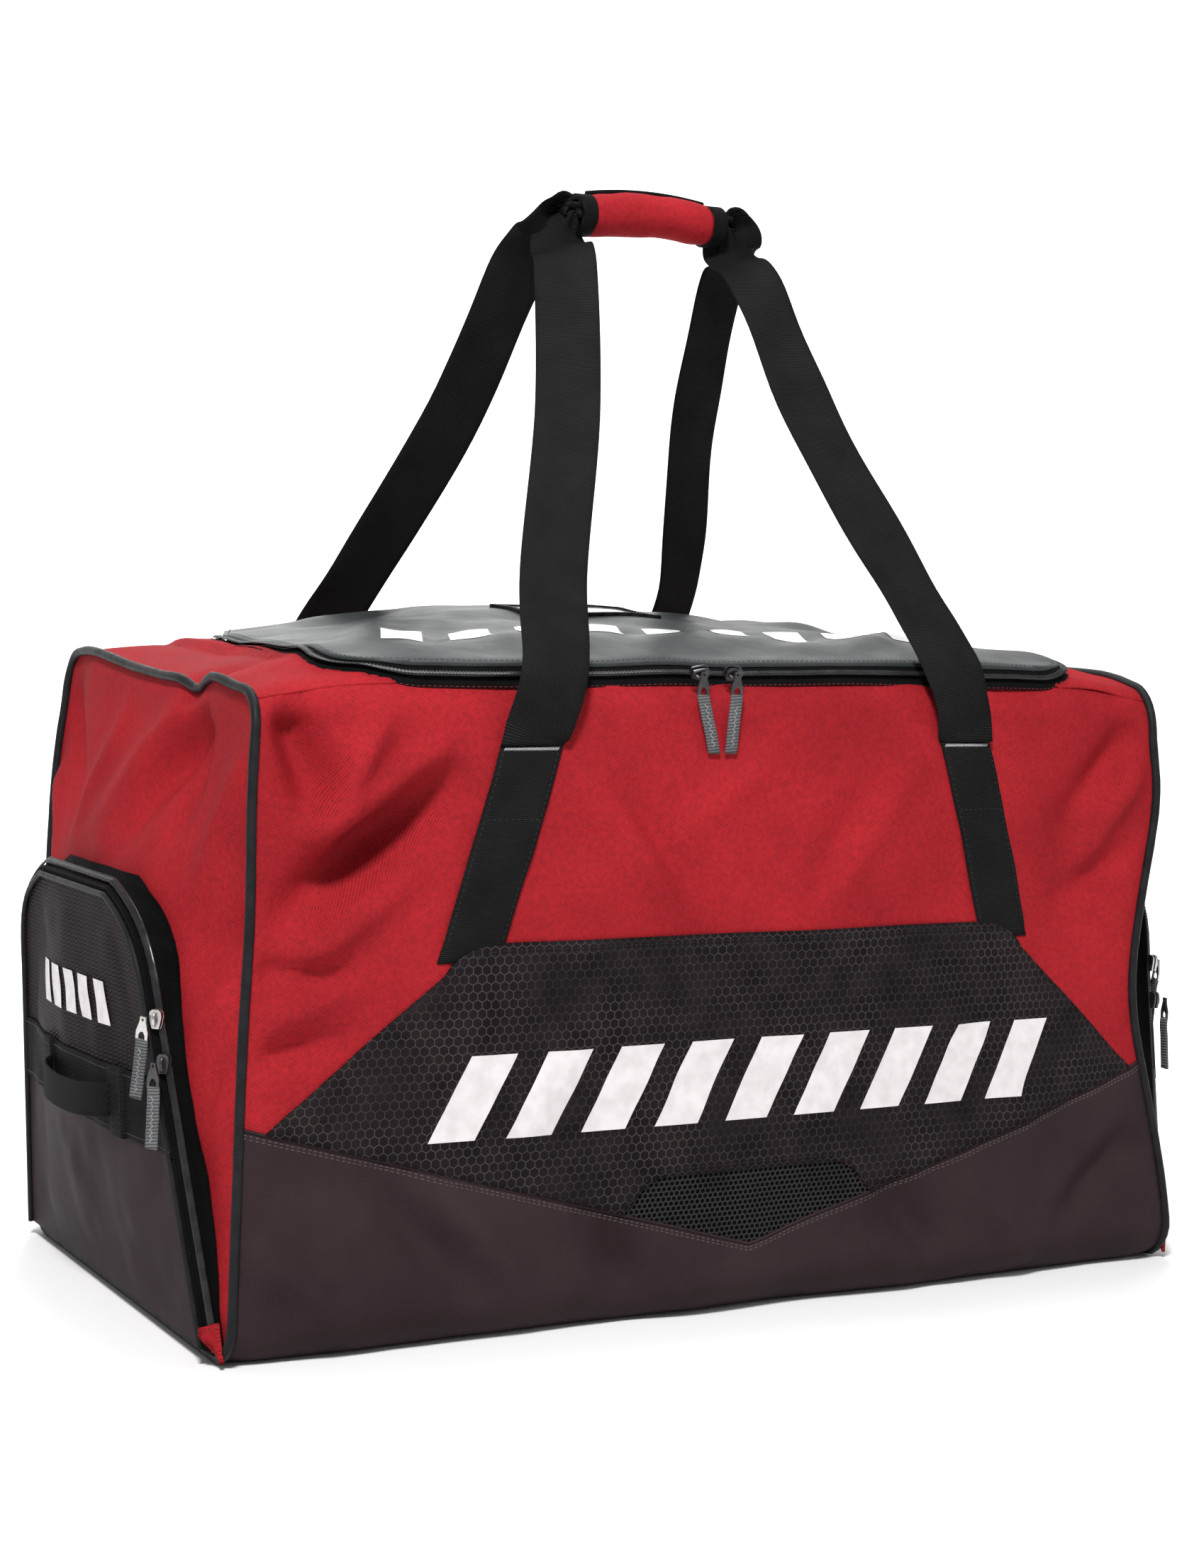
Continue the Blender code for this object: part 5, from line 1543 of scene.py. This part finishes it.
def pocket_outline(grow=0.0, count=10):
    """The pocket's outline in (y, z), from the bottom front round the top to the bottom back."""
    shoulder = (POCKET_SHOULDER[0] + grow, POCKET_SHOULDER[1])
    bend = (POCKET_CORNER[0] + grow, POCKET_CORNER[1] + grow)
    top = (POCKET_TOP_HALF, POCKET_TOP + grow)
    right = [(POCKET_BOTTOM_HALF + grow, POCKET_BOTTOM)] + rounded(shoulder, bend, top, count, 0.82)
    return mirrored(right[::-1]) + right[::-1]


def level_edge(z, count=1):
    """Places across the door at this height, the front one first."""
    half = side_half_width(z)
    return [(y, z) for y in np.linspace(-half, half, count + 1)]


def make_pocket(name, side):
    """A skate pocket: its three door panels, the piping on their edge, the gusset and the zip."""
    wall = pocket_wall(side)
    door = f"{name}_pocket_door"
    round_top = pocket_outline()[1:-1]
    panels = {
        "upper": ("mesh_fabric", level_edge(BAND_TOP - 0.004) + round_top[::-1], 0.0),
        "lower": ("dark_fabric", level_edge(BAND_BOTTOM + 0.004)[::-1] + level_edge(POCKET_BOTTOM), 0.0),
        "band": ("black_webbing", level_edge(BAND_TOP)[::-1] + level_edge(BAND_BOTTOM), BAND_OUT),
    }
    for piece, (surface, outline, out) in panels.items():
        material = MADE["black_webbing" if piece == "band" else surface]
        cloth = sheet_on(f"{name}_pocket_{piece}_cloth", [outline], wall, material, out, 0.0055, out)
        node = f"{name}_pocket_band" if piece == "band" else f"{name}_pocket_{piece}_panel"
        placed(cloth, door, surface, node)
    edge = open_line(pocket_outline(-0.0045), 0.006)
    points, _ = wall_line(wall, edge, 0.0014)
    placed(tube(f"{name}_pocket_cord", points, 0.0022, MADE["piping"], 8), door, "piping")
    rim = open_line(pocket_outline(), 0.008)
    points, _ = wall_line(wall, rim, -0.0005)
    placed(tube(f"{name}_pocket_edge", points, 0.0013, MADE["zip_tape"], 6), door, "zip_black")
    lines = [level_edge(BAND_TOP - 0.0035), level_edge(BAND_BOTTOM + 0.0035)]
    rows = stitched(f"{name}_pocket_band_stitches", lines, wall, BAND_OUT, MADE["brown_thread"])
    placed(rows, door, "black_webbing")
    make_pocket_gusset(name, side)
    make_corner_patch(name, side)
    make_grab_loop(name, side)
    make_grab_patches(name, side)


def make_pocket_gusset(name, side):
    """The strip that stands out from the end panel, with the zip tape and teeth along its rim."""
    surface = end_wall(side)
    outline = open_line(pocket_outline(GAP + 0.0006), 0.010)
    y, z = np.array(outline).T
    foot = surface(y, z, 0.0003)
    lip_x = side * (pocket_rim(z) - 0.0010)
    lip = np.stack([lip_x, y, z], axis=-1)
    outward = np.stack([0 * y, y / np.hypot(y, z), z / np.hypot(y, z)], axis=-1)
    flange = foot + outward * 0.008
    rows = [surface(flange[:, 1], flange[:, 2], 0.0006)]
    for share, bulge in ((0.0, 0.0), (0.25, 0.75), (0.5, 1.0), (0.75, 0.75), (1.0, 0.0)):
        rows.append(foot * (1 - share) + lip * share + outward * 0.0022 * bulge)
    points = np.concatenate(rows)
    count = len(y)
    faces = []
    for row in range(len(rows) - 1):
        for i in range(count - 1):
            a, b = row * count + i, row * count + i + 1
            faces.append((a, b, b + count, a + count) if side > 0 else (a, a + count, b + count, b))
    across, along = 0.008 * np.arange(len(rows)), 0.010 * np.arange(count)
    uv = np.stack([np.repeat(across, count), np.tile(along, len(rows))], axis=-1)
    strip = linked(f"{name}_pocket_zip_strip", points, faces, MADE["zip_tape"], uv)
    placed(strip, "bag", "zip_black", f"{name}_pocket_gusset")
    teeth = np.array(open_line(pocket_outline(GAP + 0.0042), 0.004))
    line = np.stack([side * (pocket_rim(teeth[:, 1]) - 0.0062), teeth[:, 0], teeth[:, 1]], -1)
    away = np.stack([0 * line[:, 0], line[:, 1], line[:, 2] * 0.6], -1)
    lean = np.array((side * 0.55, 0, 0)) + 0.83 * away / np.hypot(away[:, 1], away[:, 2])[:, None]
    coil = zip_coil(f"{name}_pocket_teeth", line, lean, MADE["zip_black"])
    placed(coil, "bag", "zip_black")


def make_corner_patch(name, side):
    """The small folded red triangle where the zip ends, over the bottom front corner of the pocket."""
    half = POCKET_BOTTOM_HALF
    outline = [(-half - 0.011, 0.005), (-half + 0.003, 0.022), (-half + 0.002, 0.027), (-half - 0.009, 0.032)]

    def corner_wall(y, z, out=0.0):
        y, z = np.asarray(y, float), np.asarray(z, float)
        beyond = smooth((-half + 0.003 - y) / 0.012)
        x = side * (pocket_rim(z) + 0.0030 - 0.0085 * beyond + out)
        return np.stack([x, y + 0 * x, z + 0 * x], axis=-1)

    patch = sheet_on(f"{name}_corner_patch", [outline], corner_wall, MADE["red_fabric"], 0.0, 0.004, 0.0030)
    placed(patch, "bag", "red_fabric")
    hem = [(y, z - 0.0025) for y, z in outline[2:]]
    rows = stitched(f"{name}_corner_stitches", [hem], corner_wall, 0.0002, MADE["red_thread"], 0.0030)
    placed(rows, "bag", "red_fabric")


def make_grab_loop(name, side):
    """A webbing loop that stands out from the band."""
    wall = pocket_wall(side)
    height = (BAND_TOP + BAND_BOTTOM) / 2
    shape = webbing_section(GRAB_WIDTH, WEBBING, 6)
    rings = []
    for share in np.linspace(-1, 1, 40):
        out = 2 * GAP + WEBBING / 2 + GRAB_OUT * math.sqrt(max(1 - abs(share) ** 3, 0))
        sag = -0.004 * (1 - share**2)
        y = GRAB_CENTRE + GRAB_HALF * share
        place = wall(y, height + sag, out)
        ahead = wall(y + 0.001, height + sag, out) - place
        outward = np.array((side, 0.0, 0.0))
        slope = -GRAB_OUT * 1.5 * share * abs(share) / math.sqrt(max(1 - abs(share) ** 3, 0.05)) / GRAB_HALF
        tangent = ahead / np.linalg.norm(ahead) + outward * slope
        tangent /= np.linalg.norm(tangent)
        normal = outward - tangent * np.dot(outward, tangent)
        normal /= np.linalg.norm(normal)
        rings.append(place + np.array((0, 0, 1.0)) * shape[:, 0, None] + normal * shape[:, 1, None])
    loop = swept(f"{name}_grab_loop", rings, MADE["black_webbing"])
    placed(loop, f"{name}_pocket_door", "black_webbing", f"{name}_grab_handle")


def make_grab_patches(name, side):
    """The folded patches sewn over both ends of the grab handle."""
    wall = pocket_wall(side)
    height = (BAND_TOP + BAND_BOTTOM) / 2
    patches = []
    for sign in (-1, 1):
        y = GRAB_CENTRE + sign * (GRAB_HALF + 0.009)
        patches.append(box_line(0.011, (BAND_TOP - BAND_BOTTOM) / 2 + 0.001, (y, height)))
    material = MADE["black_webbing"]
    patch = sheet_on(f"{name}_grab_patches", patches, wall, material, PATCH_OUT, 0.005, PATCH_OUT)
    placed(patch, f"{name}_pocket_door", "black_webbing")
    lines = []
    for outline in patches:
        middle = np.array(outline).mean(axis=0)
        line = [tuple(middle + (np.array(place) - middle) * 0.82) for place in outline]
        lines.append(line + line[:1])
    rows = stitched(f"{name}_grab_stitches", lines, wall, PATCH_OUT, MADE["black_thread"])
    placed(rows, f"{name}_pocket_door", "black_webbing")


# Sliders with their pulls and tabs

PULL = (0.0090, 0.0016, 0.0180)  # width, thickness and length
TAB = (0.0100, 0.0018, 0.0400)  # width, thickness and length
TAB_STITCHES = 14
# Each slider's length, width and depth
LID_SLIDER = (0.0125, 0.0095, 0.0085)
POCKET_SLIDER = (0.0125, 0.0090, 0.0060)
LID_SLIDER_LIFT = (0, -0.0010, 0.0025)  # the lid's zip is raised, and its sliders with it
LID_TAB_LEAN = {"left": 0.30, "right": -0.05}  # sideways run of each tab for its length
POCKET_PULL_TURN = {"left": -52, "right": 82}  # degrees from the front, as each pocket's zip faces


def solid_of(name, outlines, thickness, material, bevel=0.0003):
    """A plate cut to an outline with holes, in X and Z about the origin, with softened edges."""
    curve = bpy.data.curves.new(name, "CURVE")
    curve.dimensions = "2D"
    curve.fill_mode = "BOTH"
    curve.extrude = thickness / 2 - bevel
    curve.bevel_depth = bevel
    curve.bevel_resolution = 1
    for outline in outlines:
        spline = curve.splines.new("POLY")
        spline.points.add(len(outline) - 1)
        for point, (x, z) in zip(spline.points, outline):
            point.co = (x, z, 0, 1)
        spline.use_cyclic_u = True
    helper = in_scene(name, curve)
    mesh = bpy.data.meshes.new_from_object(helper.evaluated_get(bpy.context.evaluated_depsgraph_get()))
    bpy.data.objects.remove(helper)
    mesh.transform(Matrix.Rotation(math.radians(90), 4, "X"))
    mesh.materials.clear()
    mesh.materials.append(material)
    return shaded(in_scene(name, mesh))


def shaded(obj, angle=35):
    """Smooth shading with the sharper edges kept."""
    obj.data.polygons.foreach_set("use_smooth", [True] * len(obj.data.polygons))
    obj.data.set_sharp_from_angle(angle=math.radians(angle))
    obj.data.update()
    return obj


def rounded_block(name, size, material, bevel, segments=3):
    """A block with softened edges about the origin."""
    mesh_data = bmesh.new()
    bmesh.ops.create_cube(mesh_data, size=1, matrix=Matrix.Diagonal((*size, 1)))
    bmesh.ops.bevel(mesh_data, geom=mesh_data.edges[:], offset=bevel, segments=segments, affect="EDGES")
    mesh = bpy.data.meshes.new(name)
    mesh_data.to_mesh(mesh)
    mesh_data.free()
    mesh.materials.append(material)
    return shaded(in_scene(name, mesh))


def make_slider(whole, surface, size, matrix, lift):
    """A slider: two wings on the teeth, with a bridge over them that holds the pull."""
    name = f"{whole}_zip_body"
    low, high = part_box(f"{whole}_slider")
    material = MADE[surface]
    long_way, wide, deep = size
    wing = solid_of(f"{name}_wing", [slider_outline(wide, long_way)], deep * 0.30, material)
    floor_plate = solid_of(f"{name}_floor", [slider_outline(wide, long_way)], deep * 0.22, material)
    wing.data.transform(Matrix.Translation((0, -deep * 0.12, 0)))
    floor_plate.data.transform(Matrix.Translation((0, deep * 0.34, 0)))
    neck = rounded_block(f"{name}_neck", (wide * 0.30, deep * 0.50, long_way * 0.30), material, 0.0004)
    neck.data.transform(Matrix.Translation((0, deep * 0.10, long_way * 0.22)))
    line = [(0, -deep * 0.16 - deep * 0.42 * math.sin(t), long_way * 0.34 * math.cos(t))
            for t in np.linspace(0, math.pi, 12)]
    bridge = tube(f"{name}_bridge", line, wide * 0.13, material, 8)
    slider = joined(name, [wing, floor_plate, neck, bridge])
    slider.data.transform(Matrix.Translation((low + high) / 2 + lift) @ matrix)
    placed(slider, f"{whole}_zip_slider", surface, f"{whole}_slider")


def slider_outline(wide, long_way):
    """A slider's plate: wide shoulders at one end, narrowing to the other."""
    half, end = wide / 2, long_way / 2
    right = [(half * 0.55, -end), (half * 0.75, -end * 0.55), (half, end * 0.25), (half * 0.95, end * 0.75),
             (half * 0.55, end)]
    return right + mirrored(right)


def pull_shapes(width, height):
    """A pull's outline, with the eye that hangs on the slider and the wider loop for the tab."""
    top, low = 0.0016, 0.0016 - height
    half = width / 2
    outline = [(half * 0.42, top), (half * 0.50, top - 0.004), (half * 0.98, low + height * 0.42),
               (half, low + 0.002), (half * 0.80, low), (-half * 0.80, low), (-half, low + 0.002),
               (-half * 0.98, low + height * 0.42), (-half * 0.50, top - 0.004), (-half * 0.42, top)]
    turns = np.linspace(0, 2 * math.pi, 9)[:-1]
    eye = [(0.0011 * math.cos(turn), -0.0004 + 0.0013 * math.sin(turn)) for turn in turns]
    loop = [(half * 0.60, low + 0.0022), (half * 0.60, low + 0.0052), (half * 0.20, low + 0.0078),
            (-half * 0.20, low + 0.0078), (-half * 0.60, low + 0.0052), (-half * 0.60, low + 0.0022)]
    return [outline, eye, loop[::-1]]


def tab_rings(width, height, thickness, lean, curl, seed):
    """A tab of folded webbing, hanging from the pull's loop, in X and Z about the joint's axis."""
    shape = webbing_section(width, thickness, 4)
    start = -(PULL[2] - 0.0038)
    rings = []
    for share in np.linspace(0, 1, 16):
        z = start - (height + 0.0015) * share
        shift = lean * share * height
        out = curl * share**2 + 0.0007 * float(wander(share * 0.05, 0.0, 0.012, seed))
        rings.append([(shift + x, -(y + out), z) for x, y in shape])
    return rings


def make_pull_and_tab(whole, surface, turn, lean, curl, seed):
    """A pull and its tab on one body; turn takes their own X and Z about the joint's axis into place."""
    body = f"{whole}_zip_pull"
    matrix = Matrix.Translation(joint_place(f"{whole}_pull_swing")) @ turn
    pull = solid_of(f"{whole}_metal_pull", pull_shapes(PULL[0], PULL[2]), PULL[1], MADE[surface])
    pull.data.transform(matrix)
    placed(pull, body, surface, f"{whole}_pull")
    rings = tab_rings(TAB[0], TAB[2], TAB[1], lean, curl, seed)
    tab = swept(f"{whole}_webbing_tab", rings, MADE["grey_webbing"])
    tab.data.transform(matrix)
    placed(tab, body, "grey_webbing", f"{whole}_tab")
    line = []
    start = -(PULL[2] + 0.003)
    for index in range(TAB_STITCHES + 1):
        share = index / TAB_STITCHES
        zig = 0.0011 if index % 2 else -0.0011
        z = start - (TAB[2] - 0.010) * share
        full = (-z - PULL[2] + 0.0038) / (TAB[2] + 0.0015)
        out = curl * full**2 + TAB[1] / 2 + 0.0003
        line.append((lean * full * TAB[2] + zig, -out, z))
    thread = tube(f"{whole}_tab_stitching", line, 0.00028, MADE["grey_thread"], 5)
    thread.data.transform(matrix)
    placed(thread, body, "grey_webbing")


def joint_place(name):
    """Where the frame has the axis of a joint."""
    return Vector(next(joint for joint in frame["joints"] if joint["name"] == name)["pos_m"])


def make_lid_sliders():
    """The two sliders that meet at the front of the lid, with their pulls and tabs."""
    tilt = Matrix.Rotation(math.radians(40), 4, "X")
    flat = Matrix.Rotation(math.radians(90), 4, "Y")
    for name, side in SIDES.items():
        # the slider's own long way runs along X, and its bridge stands out of the tilted roof
        matrix = tilt @ (flat if side < 0 else flat.inverted())
        make_slider(f"lid_{name}", "gunmetal", LID_SLIDER, matrix, Vector(LID_SLIDER_LIFT))
        hang = Matrix.Rotation(math.radians(2), 4, "X")
        make_pull_and_tab(f"lid_{name}", "gunmetal", hang, LID_TAB_LEAN[name], -0.002, 80 + side)


def make_pocket_sliders(name, side):
    """The two sliders of a pocket, with their pulls and tabs."""
    turn = Matrix.Rotation(math.radians(POCKET_PULL_TURN[name]), 4, "Z")
    for level, metal, lean in (("upper", "silver_metal", 12), ("lower", "gunmetal", 0)):
        whole = f"{name}_pocket_{level}"
        tilt = Matrix.Rotation(math.radians(lean), 4, "X")
        make_slider(whole, metal, POCKET_SLIDER, turn, Vector())
        make_pull_and_tab(whole, metal, tilt @ turn, 0.0, 0.002, 90 + side)


for face_name, face_side in FACES.items():
    make_long_side(face_name, face_side)
make_vent()
make_bottom()
for end_name, end_side in SIDES.items():
    make_end(end_name, end_side)
    make_pocket(end_name, end_side)
    make_pocket_sliders(end_name, end_side)
make_top_ends()
make_lid()
make_window()
make_lid_zip()
make_prints()
make_strap_bases()
make_strap_legs()
make_grips()
make_wrap()
make_lid_sliders()


# Stage, light and camera


STAGE_BACK = 2.2  # where the floor starts to turn up
STAGE_BEND = 1.2


def make_stage():
    """A pale floor that turns up softly behind the bag."""
    turns = np.linspace(0, math.pi / 2, 12)[1:]
    bend = [(STAGE_BACK + STAGE_BEND * math.sin(t), STAGE_BEND - STAGE_BEND * math.cos(t)) for t in turns]
    rows = [(-4.0, 0.0), (STAGE_BACK, 0.0)] + bend + [(STAGE_BACK + STAGE_BEND, 5.0)]
    points = [(x, y, z - 0.0002) for y, z in rows for x in (-6.0, 6.0)]
    faces = [(2 * i, 2 * i + 1, 2 * i + 3, 2 * i + 2) for i in range(len(rows) - 1)]
    pale = Shader("stage_pale", (0.86, 0.86, 0.86), 0.9)
    floor = linked("stage_floor", points, faces, pale.material)


BAG_MIDDLE = (0, 0, 0.3)
# Each lamp's place, what it faces, its size and its power in watts
LAMPS = {
    "key": ((-1.5, -2.3, 2.9), BAG_MIDDLE, 0.7, 165),
    "fill": ((2.6, -2.0, 1.4), BAG_MIDDLE, 1.4, 14),
    "top": ((0.3, 0.6, 3.2), BAG_MIDDLE, 1.4, 55),
    "backdrop": ((0.9, 1.3, 2.6), (1.4, 3.4, 1.2), 2.4, 130),
}


def area_light(name, place, target, size, power):
    """A round white lamp that faces its target."""
    data = bpy.data.lights.new(name, "AREA")
    data.shape = "DISK"
    data.size = size
    data.energy = power
    light = in_scene(name, data)
    light.location = place
    light.rotation_euler = (Vector(target) - Vector(place)).to_track_quat("-Z", "Y").to_euler()


def make_light():
    """A plain pale room with soft lamps."""
    world = bpy.data.worlds.new("studio")
    world.use_nodes = True
    world.node_tree.nodes["Background"].inputs["Color"].default_value = (1.0, 1.0, 1.0, 1.0)
    world.node_tree.nodes["Background"].inputs["Strength"].default_value = 0.30
    bpy.context.scene.world = world
    for name, lamp in LAMPS.items():
        area_light(name, *lamp)


CAMERA_PLACE = (-0.986, -1.861, 0.507)
CAMERA_TURN = math.radians(27.54)
CAMERA_TILT = math.radians(-3.85)
CAMERA_ROLL = math.radians(1.1)
FOCAL_SHARE = 3800 / 2212  # focal length over the image's height


def make_camera():
    """The camera, at the front and a little to the left."""
    data = bpy.data.cameras.new("camera")
    data.sensor_fit = "VERTICAL"
    data.sensor_height = 36.0
    data.lens = 36.0 * FOCAL_SHARE
    camera = in_scene("camera", data)
    turn = Matrix.Rotation(-CAMERA_TURN, 4, "Z") @ Matrix.Rotation(math.pi / 2 + CAMERA_TILT, 4, "X")
    camera.matrix_world = Matrix.Translation(CAMERA_PLACE) @ turn @ Matrix.Rotation(CAMERA_ROLL, 4, "Z")
    bpy.context.scene.camera = camera


make_stage()
make_light()
make_camera()
bpy.context.scene.view_settings.view_transform = "Standard"
